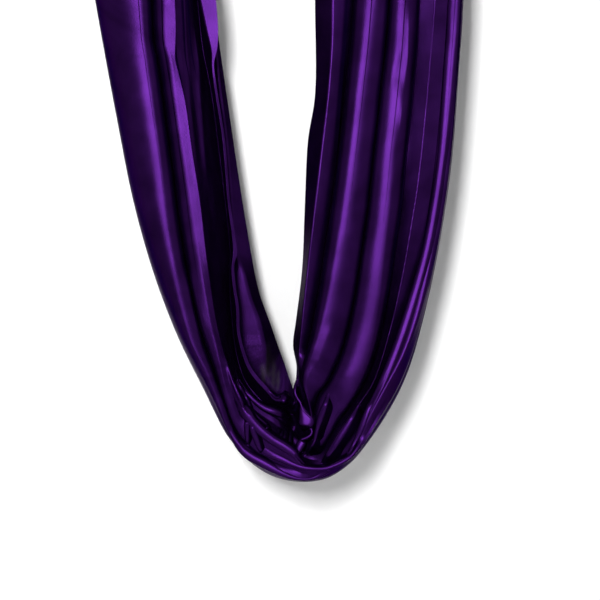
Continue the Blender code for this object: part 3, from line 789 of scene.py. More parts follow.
@dataclass
class HammockCloth:
    """The one wide sheet, gathered into a pleated band that hangs as a loop."""

    view: PhotoView
    neck_x: float = 0.300
    neck_z: float = -0.706
    neck_width: float = 0.050
    neck_share: float = 0.42
    neck_pinch: float = 0.34
    leg_row_px: float = 5.0
    bottom_row_degrees: float = 1.5
    upper_rows: int = 24
    back_depth: float = 58.0
    back_rim: float = 18.0
    back_fullness: float = 2.6
    back_columns: int = 4
    back_dip: float = 12.0
    wall_gap: float = 6.0
    side_groove: float = 2.8
    front_grooves: float = 2.0
    back_grooves: float = 2.5
    crest_turns: Point2 = (60.0, 130.0)
    edge_columns: int = 14
    hem_columns: int = 6
    full_round: float = 10.0
    top_depth: float = 0.72
    tuck: list[int] = field(default_factory=list)

    def rows(self) -> Array:
        """Turns of the shown rows, from the picture's top on the left to its top on the right."""
        top = CROOK[1] * DEGREES_PER_PX
        leg = np.arange(0.0, CROOK[1], self.leg_row_px) * DEGREES_PER_PX
        left = leg - top
        bottom = np.arange(0.0, 180.0, self.bottom_row_degrees)
        right = 180.0 + top - leg[::-1]
        return np.concatenate([left, bottom, right])

    def hump(self, place: Array, strands: dict[str, Array]) -> Array:
        """Depth of the back wall behind a place of each row, in millimetres."""
        edge, panel = strands["edge"][:, :2], strands["panel"][:, :2]
        whole = panel - edge
        share = np.sum((place - edge) * whole, axis=1) / np.maximum(np.sum(whole * whole, axis=1), 1.0)
        share = np.clip(share, 0.03, 0.97)
        round_part = (1.0 - np.abs(2 * share - 1) ** self.back_fullness) ** 0.5
        return self.back_rim + (self.back_depth - self.back_rim) * round_part

    def fold(
        self,
        first: Array,
        last: Array,
        drop: Array,
        floor: Array | None,
        columns: int,
        toward: float = 1.0,
        crests: tuple[Array | float, Array | float] = ROUND,
    ) -> list[Array]:
        """Lays the cloth from one crest through a valley to the next.

        Args:
            first: Picture place and depth of the first crest on each row.
            last: The same of the next crest.
            drop: How much deeper the shown valley is than the deeper crest, on each row.
            floor: Depth that the hidden tuck reaches, or nothing where the valley is plain.
            columns: Columns of each shown side.
            toward: 1 for the front wall and -1 for the back wall, whose valleys reach forward.
            crests: Fullness of the two crests on each row, where 2 is round and more is flatter.

        Returns:
            Columns from the first crest up to the one before the next crest.
        """
        middle = (first[:, :2] + last[:, :2]) / 2
        level = toward * np.maximum(toward * first[:, 2], toward * last[:, 2]) + toward * drop
        between = (first[:, 2] + last[:, 2]) / 2
        rounded = ease(drop, 0.0, self.full_round)
        dip = rounded * level + (1.0 - rounded) * between

        def side(crest: Array, full: Array | float) -> list[Array]:
            """The columns from one crest down to the valley, with the tuck's own."""
            made = []
            for step in range(columns):
                t = step / (columns - (floor is not None))
                angle = math.pi / 2 * t
                across = rounded * math.sin(angle) ** (2 / full) + (1.0 - rounded) * t
                down = rounded * (1.0 - max(math.cos(angle), 0.0) ** (2 / full)) + (1.0 - rounded) * t
                place = crest[:, :2] + (middle - crest[:, :2]) * across[:, None]
                depth = crest[:, 2] + (dip - crest[:, 2]) * down
                made.append(np.column_stack([place, depth]))
            if floor is not None:
                for across, down in TUCK_STEPS:
                    place = crest[:, :2] + (middle - crest[:, :2]) * across
                    made.append(np.column_stack([place, dip + (floor - dip) * down]))
            return made

        left, right = side(first, crests[0]), side(last, crests[1])[:0:-1]
        bottom = [np.column_stack([middle, dip if floor is None else floor])]
        hidden = 0 if floor is None else len(TUCK_STEPS)
        self.tuck += [0] * (len(left) - hidden) + [1] * hidden
        self.tuck += [0 if floor is None else 1]
        self.tuck += [1] * hidden + [0] * (len(right) - hidden)
        return left + bottom + right

    def front(self, turns: Array, strands: dict[str, Array]) -> Array:
        """The front wall from the hem to the outer edge."""
        out = []
        for pleat in FRONT_PLEATS:
            first, last = strands[pleat.first], strands[pleat.last]
            gap = np.hypot(*(last - first)[:, :2].T)
            room = ease(gap, 2.0, 16.0)
            drop = np.interp(turns, DIP_TURNS, pleat.dips) * room
            floor = None
            if pleat.tucked:
                floor = self.hump((first + last)[:, :2] / 2, strands) - self.wall_gap
            full = [CRESTS.get(name, ROUND) for name in (pleat.first, pleat.last)]
            crests = tuple(np.interp(turns, self.crest_turns, pair) for pair in full)
            out += self.fold(first, last, drop, floor, pleat.columns, crests=crests)
        crest, edge = strands["first"], strands["edge"]
        for step in range(self.edge_columns):
            angle = math.pi / 2 * step / self.edge_columns
            full = 2 / CRESTS["first"][0]
            place = crest[:, :2] + (edge - crest)[:, :2] * math.sin(angle) ** full
            steep = 1.0 - ease(np.hypot(*(edge - crest)[:, :2].T), 3.0, 12.0)
            sunk = self.groove(edge, math.cos(angle), self.front_grooves, turns)
            place += sunk * (steep * math.sin(angle) ** 0.5)[:, None]
            depth = crest[:, 2] + (edge - crest)[:, 2] * (1.0 - math.cos(angle) ** full)
            out.append(np.column_stack([place, depth]))
            self.tuck.append(0)
        return np.stack(out, axis=1)

    def groove(self, edge: Array, share: float, count: float, turns: Array) -> Array:
        """How far the outer side's long pleats sink inwards, in picture points.

        Args:
            edge: The outer edge's picture place on each row.
            share: Share of the way from the edge to the wall's first crest.
            count: How many pleats there are on that way.
            turns: The rows' turns.

        Returns:
            The shift of each row.
        """
        run = np.gradient(edge[:, :2], axis=0)
        inward = np.column_stack([run[:, 1], -run[:, 0]]) / np.hypot(*run.T)[:, None]
        sway = 0.7 * np.sin(turns / 31.0) + 0.4 * np.sin(turns / 13.0 + 1.0)
        wave = 0.5 - 0.5 * np.cos(2 * math.pi * count * share + sway * min(1.0, 3 * share))
        return inward * (self.side_groove * wave * min(1.0, 5 * share * (1.15 - share)))[:, None]

    def back(self, turns: Array, strands: dict[str, Array]) -> Array:
        """The back wall from the outer edge to its hem. Its tucks lie between those of the front wall."""
        tucked = [pleat for pleat in FRONT_PLEATS if pleat.tucked][::-1]
        crests, tucks = [(strands["edge"][:, :2] + 2 * strands["first"][:, :2]) / 3], []
        for pleat in tucked:
            tucks.append(strands[pleat.last])
            crests.append((strands[pleat.first] + strands[pleat.last])[:, :2] / 2)
        lines = [np.column_stack([place, self.hump(place, strands)]) for place in crests]
        edge, panel, hem = strands["edge"], strands["panel"], strands["back_hem"]
        tucks.append(strands["a"])
        lines.append(panel)
        out = []
        for step in range(self.edge_columns):
            angle = math.pi / 2 * step / self.edge_columns
            place = edge[:, :2] + (lines[0] - edge)[:, :2] * (1.0 - math.cos(angle))
            place += self.groove(edge, math.sin(angle), self.back_grooves, turns)
            depth = edge[:, 2] + (lines[0] - edge)[:, 2] * math.sin(angle)
            out.append(np.column_stack([place, depth]))
            self.tuck.append(0)
        for first, last, tuck in zip(lines, lines[1:], tucks):
            gap = np.hypot(*(last - first)[:, :2].T)
            drop = self.back_dip * ease(gap, 2.0, 14.0)
            floor = np.minimum(tuck[:, 2] + self.wall_gap, first[:, 2] - drop - 1.0)
            out += self.fold(first, last, drop, floor, self.back_columns, -1.0)
        crest, count = strands["line_b"], self.hem_columns
        out += [panel + (crest - panel) * step / count for step in range(count)]
        out += [crest + (hem - crest) * step / count for step in range(count + 1)]
        self.tuck += [0] * (2 * count + 1)
        return np.stack(out, axis=1)

    def upper(self, section: Array, side: int) -> list[Array]:
        """Carries a leg from the picture's top edge to its knot.

        Args:
            section: World points of the top row.
            side: -1 for the left leg and 1 for the right.

        Returns:
            Further rows, the nearest first.
        """
        low, high = section[:, 0].min(), section[:, 0].max()
        middle, width = (low + high) / 2, high - low
        rows = []
        plain = np.linspace(0.0, 0.94, self.upper_rows - 3)[1:]
        for s in (*plain, 0.96, 0.976, 0.99, 1.0):
            center = middle + (side * self.neck_x - middle) * s**1.1
            pinch = 1 - self.neck_pinch * float(ease(s, 0.93, 1.0))
            scale = (1 + (self.neck_width / width - 1) * s**1.05) * pinch
            x = center + (section[:, 0] - middle) * scale
            y = section[:, 1] * (1 + (self.neck_share - 1) * s**3.2)
            z = section[:, 2] + (self.neck_z - section[:, 2]) * s
            rows.append(np.column_stack([x, y, z]))
        return rows

    def grid(self) -> tuple[Array, Array]:
        """The whole sheet.

        Returns:
            World points by row and column, and the share of painted see-through light at each.
        """
        turns = self.rows()
        strands = {name: Strand(points).at(turns) for name, points in STRANDS.items()}
        front, back = self.front(turns, strands), self.back(turns, strands)
        shown = np.array([1.0 - t for t in self.tuck[: front.shape[1]]])
        for crimp in CRIMPS:
            front[..., 2] -= crimp.lift(front[..., 0], front[..., 1]) * shown
        shallow = np.interp(front[..., 1], (0.0, 400.0), (self.top_depth, 1.0))
        front[..., 2] *= np.where(front[..., 2] < 0.0, shallow, 1.0)
        flat = np.concatenate([front, back], axis=1)
        world = self.view.on_ray(flat[..., 0], flat[..., 1], flat[..., 2] / 1000.0)
        left = self.upper(world[0], -1)
        right = self.upper(world[-1], 1)
        points = np.concatenate([np.stack(left[::-1]), world, np.stack(right)])
        # The patches beside the V get painted see-through light: a greyer, lighter base colour where the
        # backdrop is meant to show through thin cloth
        see_through_paint = np.zeros(points.shape[:2])
        last = 2 * self.hem_columns + 1
        thin, place = see_through_paint[self.upper_rows : -self.upper_rows, -last:], flat[:, -last:]
        for x, y, wide, tall in SEE_THROUGH_PAINT_PATCHES:
            spread = ((place[..., 0] - x) / wide) ** 2 + ((place[..., 1] - y) / tall) ** 2
            thin[:] = np.maximum(thin, np.exp(-(spread**2)))
        return points, see_through_paint

    def build(self, finish: Finish) -> Piece:
        """Makes the sheet's mesh with its UV map in metres.

        Args:
            finish: The cloth's material.

        Returns:
            The sheet.
        """
        points, see_through_paint = self.grid()
        count_r, count_c = points.shape[:2]
        mesh = netted("hammock_sheet", points)
        across = np.zeros((count_r, count_c))
        across[:, 1:] = np.cumsum(np.linalg.norm(np.diff(points, axis=1), axis=2), axis=1)
        along = np.zeros((count_r, count_c))
        along[1:] = np.cumsum(np.linalg.norm(np.diff(points, axis=0), axis=2), axis=0)
        along = np.repeat(along.mean(axis=1)[:, None], count_c, axis=1)
        loops = np.empty(len(mesh.loops), dtype=np.int32)
        mesh.loops.foreach_get("vertex_index", loops)
        map_cloth(mesh, np.column_stack([along.ravel(), across.ravel()])[loops])
        mark(mesh, "see_through_paint", see_through_paint)
        sheet = placed("hammock_sheet", mesh)
        mesh.materials.append(finish)
        mesh.shade_smooth()
        tuck = np.array(self.tuck)
        mouth = np.flatnonzero(np.diff(tuck) != 0)
        mouth = np.where(tuck[mouth] == 0, mouth, mouth + 1)
        pairs = np.empty(2 * len(mesh.edges), dtype=np.int32)
        mesh.edges.foreach_get("vertices", pairs)
        column = pairs.reshape(-1, 2) % count_c
        sharp = (column[:, 0] == column[:, 1]) & np.isin(column[:, 0], mouth)
        mesh.attributes.new("sharp_edge", "BOOLEAN", "EDGE").data.foreach_set("value", sharp)
        area = sum(polygon.area for polygon in mesh.polygons)
        LOG.info("hammock sheet: %d points, area %.2f square metres", len(mesh.vertices), area)
        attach(sheet, "hammock")
        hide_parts("hammock_cloth")
        return sheet


Fold = tuple[tuple[float, ...], ...]

# Small folds of the crook and the bottom: picture place, width on both sides or on each of them in picture
# points, and height in millimetres
SMALL_FOLDS: dict[str, Fold] = {
    "long_ridge": (
        (238, 404, 2, 0.42), (245, 412, 4.6, 5.1, 1.26), (252, 421, 4.1, 1.09), (262, 431.5, 4.1, 1.26),
        (273, 440, 4.1, 1.34), (284, 446.5, 4.1, 1.34), (293, 453, 3.4, 1.09), (297, 458, 2.2, 0.8),
        (304, 466, 1.6, 0.42),
    ),
    "band_edge": (
        (258, 448, 2.7, 0.35), (264, 451, 3.8, 0.71), (273, 455, 3.8, 0.88), (283, 459.5, 3.4, 0.88),
        (293, 464.3, 2.8, 0.8), (302, 467.3, 2.2, 0.71), (313, 468.8, 1.9, 0.71), (325, 468.5, 1.9, 0.71),
        (335, 465.3, 1.9, 0.71), (345, 460.3, 1.8, 0.67), (352, 455.3, 1.8, 0.63), (358, 447.5, 1.8, 0.55),
        (364, 437, 1.5, 0.35),
    ),
    "under_ridge": (
        (229, 424, 1.4, 0.35), (233, 436, 2.4, 0.55), (241, 448.5, 3.2, 0.88), (250, 456, 4.1, 1.22),
        (260, 461.5, 4.3, 1.3), (270, 467, 4.1, 1.3), (280, 472.3, 3.2, 1.05), (290, 476.6, 2.3, 0.76),
        (300, 479, 1.6, 0.55), (310, 478.8, 1.5, 0.5), (320, 475.6, 1.5, 0.5), (331, 469.3, 1.4, 0.35),
    ),
    "left_wedge": (
        (246, 419, 1.4, 2.7, 0.42), (246.5, 426, 2.2, 3.5, 1.26), (247, 436, 1.8, 2.3, 1.13),
        (247.6, 447, 0.8, 0.42),
    ),
    "right_wedge": (
        (250, 420, 1.4, 0.42), (253, 430, 2.7, 1.13), (257, 441, 2.7, 1.22), (260, 449, 1.9, 0.84),
        (262.5, 454, 0.8, 0.35),
    ),
    "inner_ridge": (
        (238, 380, 1.4, 0.35), (247, 393, 1.9, 0.71), (256, 402.5, 2.4, 0.97), (265, 408.5, 3, 1.26),
        (275, 412.3, 3.5, 1.43), (283, 415.5, 3.2, 1.26), (289, 419.5, 1.6, 0.42),
    ),
    "line_1": (
        (230.5, 376, 1.4, 0.35), (236, 390, 1.6, 0.8), (241, 401, 1.6, 0.8), (244, 409, 1.1, 0.42),
    ),
    "line_2": (
        (235.5, 380, 1.4, 0.35), (242, 391, 1.6, 0.8), (247.5, 401, 1.6, 0.8), (251, 411, 1.6, 0.8),
        (257, 420, 1.4, 0.5), (263, 425, 1.1, 0.35),
    ),
    "line_3": (
        (251, 409, 1.1, 0.35), (257, 417, 1.6, 0.71), (264, 423, 1.6, 0.71), (271, 429, 1.1, 0.35),
    ),
    "ruffle_1": (
        (263, 424.5, 1.1, 0.35), (267, 429, 2.2, 1.05), (271.5, 431, 1.1, 0.35),
    ),
    "ruffle_2": (
        (280, 428, 1.1, 0.42), (277, 433, 2.2, 1.09), (273, 436.5, 1.1, 0.35),
    ),
    "ruffle_3": (
        (283, 430, 1.1, 0.42), (281, 436, 2, 1.09), (278.5, 441, 1.1, 0.35),
    ),
    "ruffle_4": (
        (286, 429, 1.1, 0.42), (284.5, 437, 2.3, 1.18), (283.5, 444, 1.4, 0.42),
    ),
    "ruffle_5": (
        (291, 430, 1.1, 0.42), (290, 439, 1.8, 1.01), (289, 448, 1.1, 0.35),
    ),
    "crook_lobe": (
        (301.5, 400, 0.9, 0.8), (302, 407, 2.4, 1), (304, 414, 4.6, 5.4, 1.2), (306, 420, 7, 8, 1.3),
        (305.5, 425, 6, 6.5, 1.2), (305, 429.5, 2.6, 0.8),
    ),
    "crook_line": (
        (299, 376, 1.1, 0.35), (296, 385, 1.4, 0.67), (295, 392, 1.5, 1.09), (297, 397.5, 1.5, 1.43),
        (300.5, 403, 1.5, 1.6), (303, 410, 1.5, 1.85), (308.5, 415.5, 1.4, 2.1), (313, 420, 1.2, 1.51),
        (313.8, 423.5, 0.8, 0.42),
    ),
    "crook_hook": (
        (303, 427, 1.1, 0.42), (308, 426.8, 1.4, 1.43), (311.6, 430, 1.4, 1.43), (311, 434.5, 1.4, 1.43),
        (306, 438, 1.4, 1.18), (300.5, 440, 1.2, 0.71), (298, 443, 0.9, 0.35),
    ),
    "under_hook": (
        (304.5, 439, 2, 0.5), (301.5, 444, 4.2, 3.4, 1), (298.8, 449.5, 3.8, 3, 1),
        (296.4, 455.5, 1.2, 0.4),
    ),
    "spear_2": (
        (329, 392, 1, 0.8, 0.3), (327, 401, 2.4, 1.6, 0.7), (323.5, 411, 3.4, 2.2, 1),
        (320, 421, 3.2, 2.2, 1), (317, 431, 2, 1.6, 0.9), (314, 442, 1.6, 1.5, 0.8),
        (309, 450, 1.3, 1.2, 0.6), (303.5, 458, 0.9, 0.4),
    ),
    "spear_3": (
        (360, 402, 1.6, 0.4), (352, 418, 2.8, 2.2, 0.8), (344, 432, 4.4, 2.6, 1.1), (335, 446, 4, 2.6, 1.2),
        (327.5, 456, 2.8, 2.4, 1), (321, 464.5, 1, 0.4),
    ),
    "edge_spear": (
        (376, 394, 1.6, 1.2, 0.3), (369, 410, 3.2, 1.8, 0.9), (362, 429, 3.6, 1.8, 1),
        (355, 443, 2.6, 1.4, 0.8), (347.5, 455, 1, 0.3),
    ),
    "lip_facet": (
        (286.5, 391, 0.8, 0.4), (284.5, 398, 3, 0.8), (281, 404.5, 1, 0.4),
    ),
    "lip_curl": (
        (268, 390, 0.8, 0.4), (272.5, 394.5, 1.2, 0.8), (276.5, 397.5, 1.3, 0.9), (281, 396.3, 1.2, 0.8),
        (286.5, 391.5, 0.8, 0.4),
    ),
    "edge_band": (
        (457.5, -30, 4.5, 3, 0.4), (455.3, 5, 7, 5, 1), (454.3, 30, 7, 5, 1), (451.5, 60, 6.6, 5.2, 1),
        (448, 100, 5.8, 5.2, 1), (443.2, 150, 4.8, 4.4, 1), (436.3, 200, 4.6, 4.2, 1),
        (427, 250, 4.4, 4, 1), (414, 298, 4.6, 4, 1), (398, 347, 4.6, 4, 1), (383, 384, 4.2, 3, 0.8),
        (371, 408, 3, 2, 0.5), (362, 428, 1.5, 1.2, 0.4),
    ),
}


# How far the crest of a fold with a dark lee flank stands off the cloth, in millimetres
LEES = {"spear_2": 5.5, "spear_3": 6.5, "left_wedge": 2.5, "right_wedge": 3.0}
# Folds that hang free of the cloth under them, in one plane that faces the lamp
FREE = ("crook_lobe", "crook_line", "crook_hook", "under_hook")


@dataclass
class CrookFolds:
    """The sheet's small folds at the bottom of the loop, each laid on the pleats under it."""

    view: PhotoView
    sheet: Piece
    corner: tuple[int, int] = (200, 0)
    size: tuple[int, int] = (268, 486)
    sunk: float = 0.9
    flatness: float = 3.2
    lee_slope: float = 0.6
    skirt: float = 1.12
    longest_skirt: float = 9.0
    taper: float = 0.22
    thickness: float = 0.0005
    under: Array = field(init=False)

    def __post_init__(self) -> None:
        """Measures the depth of the foremost cloth at the crook's picture points, in millimetres."""
        across, down = np.meshgrid(np.arange(self.size[0]), np.arange(self.size[1]), indexing="ij")
        across, down = across.ravel() + self.corner[0], down.ravel() + self.corner[1]
        near = self.view.on_ray(across, down, np.full(across.size, -0.2))
        far = self.view.on_ray(across, down, np.full(across.size, 0.2))
        found = np.full(across.size, 20.0)
        for index in np.flatnonzero((down > 350) | (across > 350)):
            aim = Vector(far[index] - near[index])
            hit, place, _, _ = self.sheet.ray_cast(Vector(near[index]), aim.normalized(), distance=aim.length)
            if hit:
                found[index] = place.y * 1000.0
        self.under = found.reshape(self.size)

    @staticmethod
    def lean(places: Array) -> Array:
        """Depth per picture point, to the right and down, of cloth that mirrors the lamp to the camera."""
        return np.stack([-0.165 - 0.0001 * (places[..., 0] - 270), -0.06 - 0.0004 * places[..., 1]], axis=-1)

    def level(self, places: Array) -> Array:
        """Depth of the foremost cloth at picture places, in millimetres."""
        cell = np.rint(places - np.array(self.corner)).astype(int)
        cell = np.clip(cell, 0, np.array(self.size) - 1)
        return self.under[cell[..., 0], cell[..., 1]]

    def ridge(self, name: str, fold: Fold) -> Piece:
        """Makes one fold: a crest that faces the lamp, and a skirt on each side down to the cloth."""
        points = [(*point[:3], *point[-2:]) if len(point) == 4 else point for point in fold]
        line = dense_curve(np.array(points, float), 12)
        step = np.gradient(line[:, :2], axis=0)
        step /= np.linalg.norm(step, axis=1)[:, None]
        beside = np.column_stack([step[:, 1], -step[:, 0]])
        u = np.sin(np.linspace(-math.pi / 2, math.pi / 2, 13))
        u = np.concatenate([[-self.skirt], u, [self.skirt]])
        width = np.where(u < 0, line[:, 2:3], line[:, 3:4])
        offset = beside[:, None] * (u * width)[..., None]
        places = line[:, None, :2] + offset
        base = self.level(places)
        crest = base[:, 2:-2].min(axis=1)
        half = min(12, len(crest) // 4)
        kernel = np.hanning(2 * half + 3)[1:-1]
        crest = np.convolve(np.pad(crest, half, mode="edge"), kernel / kernel.sum(), "valid")[:, None]
        lean = self.lean(line[:, :2])
        if name in FREE:
            crest = crest.min() + np.sum((line[:, :2] - line[-1, :2]) * lean, axis=1)[:, None]
        height = line[:, 4:5]
        share = np.linspace(0.0, 1.0, len(line))[:, None]
        end = ease(np.minimum(share, 1.0 - share), 0.0, self.taper)
        lift = LEES.get(name, 0.0) * end
        depth = crest - lift - height + (height + self.sunk) * np.abs(u) ** self.flatness
        depth += np.sum(offset * lean[:, None], axis=-1)
        places[:, -1] += beside * (lift + height) / self.lee_slope
        under = np.clip(self.level(places), crest, crest + self.longest_skirt) + self.sunk
        depth[:, [0, -1]] = under[:, [0, -1]]
        depth = under + (depth - under) * end ** 0.6
        world = self.view.on_ray(places[..., 0], places[..., 1], depth / 1000.0)
        piece = placed(name, netted(name, world))
        piece.modifiers.new("cloth", "SOLIDIFY").thickness = self.thickness
        apply_all(piece)
        outward(piece.data)
        return piece

    def build(self, satin: Finish) -> Piece:
        """Makes all the small folds as one piece that belongs to the sheet."""
        made = joined([self.ridge(name, fold) for name, fold in SMALL_FOLDS.items()], "hammock_crook_folds")
        made.data.shade_smooth()
        places = np.array([made.data.vertices[loop.vertex_index].co for loop in made.data.loops])
        map_cloth(made.data, places[:, [2, 0]])
        made.data.materials.append(satin)
        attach(made, "hammock")
        LOG.info("crook folds: %d faces", len(made.data.polygons))
        return made


# The hardware's finishes


@dataclass(frozen=True)
class ZincSteel:
    """Bright zinc on rolled steel, mottled, with fine rubbing marks."""

    roughness: float = 0.30
    mottle: float = 0.010
    rubbing: Point3 = (60.0, 60.0, 900.0)

    def make(self) -> Finish:
        """Builds the finish, which reads Object coordinates."""
        tree = Tree("zinc_plated_steel")
        tree.base(Palette.ZINC.value, self.roughness, 1.0)
        place = tree.add("TexCoord").outputs["Object"]
        cloudy = tree.noise(place, 1.0 / self.mottle, 3.0)
        tree.shade("Base Color", tree.tones(cloudy, Palette.ZINC.value, 0.80, 1.12))
        rubbed = tree.noise(tree.stretched(place, self.rubbing), 1.0, 2.0)
        tree.stray(rubbed, self.roughness, 0.06, 0.16)
        tree.raise_by(rubbed, 0.10, 0.0001)
        return tree.material


@dataclass(frozen=True)
class AnodisedAlloy:
    """Dark anodised aluminium, rubbed bright where something bears on it."""

    name: str
    roughness: float = 0.34
    grain: float = 700.0
    scuffing: Point3 = (500.0, 500.0, 160.0)

    def make(self) -> Finish:
        """Builds the finish, which reads Object coordinates and the piece's own wear."""
        tree = Tree(self.name)
        tree.base(Palette.ANODISED.value, self.roughness, 0.85)
        place = tree.add("TexCoord").outputs["Object"]
        fine = tree.noise(place, self.grain, 2.0)
        tone = tree.tones(tree.noise(place, 60.0, 3.0), Palette.ANODISED.value, 0.85, 1.15)
        scuffs = tree.noise(tree.stretched(place, self.scuffing), 1.0, 4.0)
        wear = tree.add("Attribute", attribute_name="wear").outputs["Fac"]
        worn = tree.math("MULTIPLY", wear, tree.span(scuffs, 0.0, 1.6, (0.42, 0.60)))
        tree.shade("Base Color", tree.blend(worn, tone, Palette.BARE_ALLOY.value))
        tree.stray(fine, self.roughness, 0.05, 0.10)
        tree.raise_by(fine, 0.06, 0.0001)
        return tree.material


@dataclass(frozen=True)
class WovenWebbing:
    """Black webbing in a herringbone weave, whose UV map runs along and across it in metres."""

    ridge: float = 0.0016
    pick: float = 0.0007

    def make(self) -> Finish:
        """Builds the webbing's material."""
        tree = Tree("black_woven_webbing")
        tree.base(Palette.WEBBING.value, 0.72)
        tree.shade("Sheen Weight", 0.25)
        tree.shade("Sheen Roughness", 0.5)
        split = tree.add("SeparateXYZ", {"Vector": tree.add("UVMap", uv_map="UVMap").outputs["UV"]})
        lengthwise, across = split.outputs["X"], split.outputs["Y"]
        slant = tree.math("ADD", lengthwise, tree.math("PINGPONG", across, self.ridge * 2.5))
        waves = [
            tree.math("SINE", tree.math("MULTIPLY", source, 2 * math.pi / pitch))
            for source, pitch in ((slant, self.ridge), (across, self.pick))
        ]
        level = tree.span(tree.math("ADD", *waves), 0.0, 1.0, (-2.0, 2.0))
        # The weave's tone follows its height: the woven pattern itself, with painted shade in the hollows
        # between yarns and painted light on the raised yarns
        tree.shade("Base Color", tree.tones(level, Palette.WEBBING.value, 0.55, 1.6))
        tree.raise_by(level, 0.55, 0.0004)
        return tree.material


@dataclass(frozen=True)
class SewingThread:
    """Twisted grey thread of the bar tacks."""

    twist: float = 2600.0

    def make(self) -> Finish:
        """Builds the thread's material."""
        tree = Tree("grey_sewing_thread")
        tree.base(Palette.THREAD.value, 0.6)
        place = tree.add("TexCoord").outputs["Object"]
        fine = tree.noise(place, self.twist, 1.0)
        tree.shade("Base Color", tree.tones(fine, Palette.THREAD.value, 0.7, 1.3))
        tree.raise_by(fine, 0.4, 0.0002)
        return tree.material


# Moves that the hardware is modelled with


def in_edit(piece: Piece) -> None:
    """Opens one piece alone for editing, with nothing selected."""
    activate(piece)
    bpy.ops.object.mode_set(mode="EDIT")
    bpy.ops.mesh.select_all(action="DESELECT")


def closed(piece: Piece) -> Piece:
    """Merges doubles, turns all faces outwards and goes back to object mode."""
    bpy.ops.mesh.select_all(action="SELECT")
    bpy.ops.mesh.remove_doubles(threshold=1e-6)
    bpy.ops.mesh.normals_make_consistent(inside=False)
    bpy.ops.object.mode_set(mode="OBJECT")
    return piece


def choose(piece: Piece, test: Callable[[Vector], bool]) -> None:
    """Selects, in edit mode, the faces whose middle passes a test."""
    bpy.ops.mesh.select_mode(type="FACE")
    bpy.ops.mesh.select_all(action="DESELECT")
    made = bmesh.from_edit_mesh(piece.data)
    for face in made.faces:
        face.select_set(test(face.calc_center_median()))
    bmesh.update_edit_mesh(piece.data)


def softened(piece: Piece, width: float, segments: int = 2) -> Piece:
    """Rounds a piece's sharp edges and shades it smooth between them."""
    edges = piece.modifiers.new("edges", "BEVEL")
    edges.width, edges.segments = width, segments
    edges.limit_method, edges.angle_limit = "ANGLE", math.radians(30.0)
    apply_all(piece)
    bpy.ops.object.shade_smooth_by_angle(angle=math.radians(35.0))
    return piece


def worked(piece: Piece, tool: Piece, operation: str) -> Piece:
    """Cuts a piece with a tool, or joins the tool to it, and takes the tool away."""
    join = piece.modifiers.new("tool", "BOOLEAN")
    join.operation, join.solver, join.object = operation, "EXACT", tool
    apply_all(piece)
    bpy.data.objects.remove(tool)
    return piece


def joined(pieces: list[Piece], name: str) -> Piece:
    """Makes one object of several shells."""
    activate(pieces[0])
    for piece in pieces:
        piece.select_set(True)
    bpy.ops.object.join()
    pieces[0].name = name
    return pieces[0]


def turned(name: str, rings: Sequence[Point2], sides: int = 32, hollow: bool = False) -> Piece:
    """Turns a round piece about Z, as a circle that is extruded and scaled from ring to ring.

    Args:
        name: The piece's name.
        rings: Radius and height of each ring.
        sides: Corners of each ring.
        hollow: Whether the last ring joins the first, or else both ends are filled.

    Returns:
        The closed piece, on the Z axis.
    """
    deselect_all()
    bpy.ops.mesh.primitive_circle_add(vertices=sides, radius=rings[0][0], location=(0.0, 0.0, rings[0][1]))
    piece = bpy.context.active_object
    piece.name = name
    bpy.ops.object.mode_set(mode="EDIT")
    bpy.ops.mesh.select_mode(type="EDGE")
    bpy.ops.mesh.select_all(action="SELECT")
    for (radius, height), (wider, further) in zip(rings, rings[1:]):
        bpy.ops.mesh.extrude_edges_move(TRANSFORM_OT_translate={"value": (0.0, 0.0, further - height)})
        share = wider / radius
        bpy.ops.transform.resize(value=(share, share, 1.0), center_override=(0.0, 0.0, further))
    bpy.ops.mesh.select_all(action="DESELECT")
    bpy.ops.mesh.select_non_manifold()
    if hollow:
        bpy.ops.mesh.bridge_edge_loops()
    else:
        bpy.ops.mesh.fill_holes(sides=0)
    return settle(closed(piece))


def moved(piece: Piece, place: Point3, turn: Point3 = (0.0, 0.0, 0.0)) -> Piece:
    """Turns a finished piece and puts it in its place."""
    piece.rotation_euler = turn
    piece.location = place
    return settle(piece)


ROD_SIDES = 28


@dataclass(frozen=True)
class Run:
    """A straight stretch of a rod."""

    by: Point3


@dataclass(frozen=True)
class Bend:
    """A bend of a rod about a centre."""

    center: Point3
    axis: Point3
    angle: float
    steps: int = 18


def bent_rod(name: str, radius: float, start: Point3, moves: Sequence[Run | Bend]) -> Piece:
    """Makes a round rod that starts square to Z.

    Args:
        name: The rod's name.
        radius: Its radius.
        start: Middle of its first end.
        moves: Its stretches and bends in order.

    Returns:
        The closed rod.
    """
    deselect_all()
    bpy.ops.mesh.primitive_circle_add(vertices=ROD_SIDES, radius=radius, fill_type="NGON", location=start)
    rod = bpy.context.active_object
    rod.name = name
    bpy.ops.object.mode_set(mode="EDIT")
    bpy.ops.mesh.select_mode(type="FACE")
    bpy.ops.mesh.select_all(action="SELECT")
    for move in moves:
        if isinstance(move, Run):
            bpy.ops.mesh.extrude_region_move(TRANSFORM_OT_translate={"value": move.by})
        else:
            bpy.ops.mesh.spin(steps=move.steps, angle=move.angle, center=move.center, axis=move.axis)
    return settle(closed(rod))


def dress(piece: Piece, finish: Finish) -> None:
    """Gives a piece one finish all over."""
    piece.data.materials.clear()
    piece.data.materials.append(finish)


def hang(piece: Piece, node: str, finish: Finish) -> Piece:
    """Puts a finished piece in the place of its CAD node.

    Args:
        piece: The finished piece.
        node: The CAD node that it stands for, whose body it rides on.
        finish: Its material.

    Returns:
        The piece.
    """
    dress(piece, finish)
    settle(piece)
    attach(piece, frame["nodes"][node]["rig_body"])
    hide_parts(node)
    LOG.info("%s: %d faces", piece.name, len(piece.data.polygons))
    return piece


SIDES = (("left", -1), ("right", 1))
HANG_X = 0.300
UPPER_PIN_Z = -0.0572
LOWER_PIN_Z = -0.5552


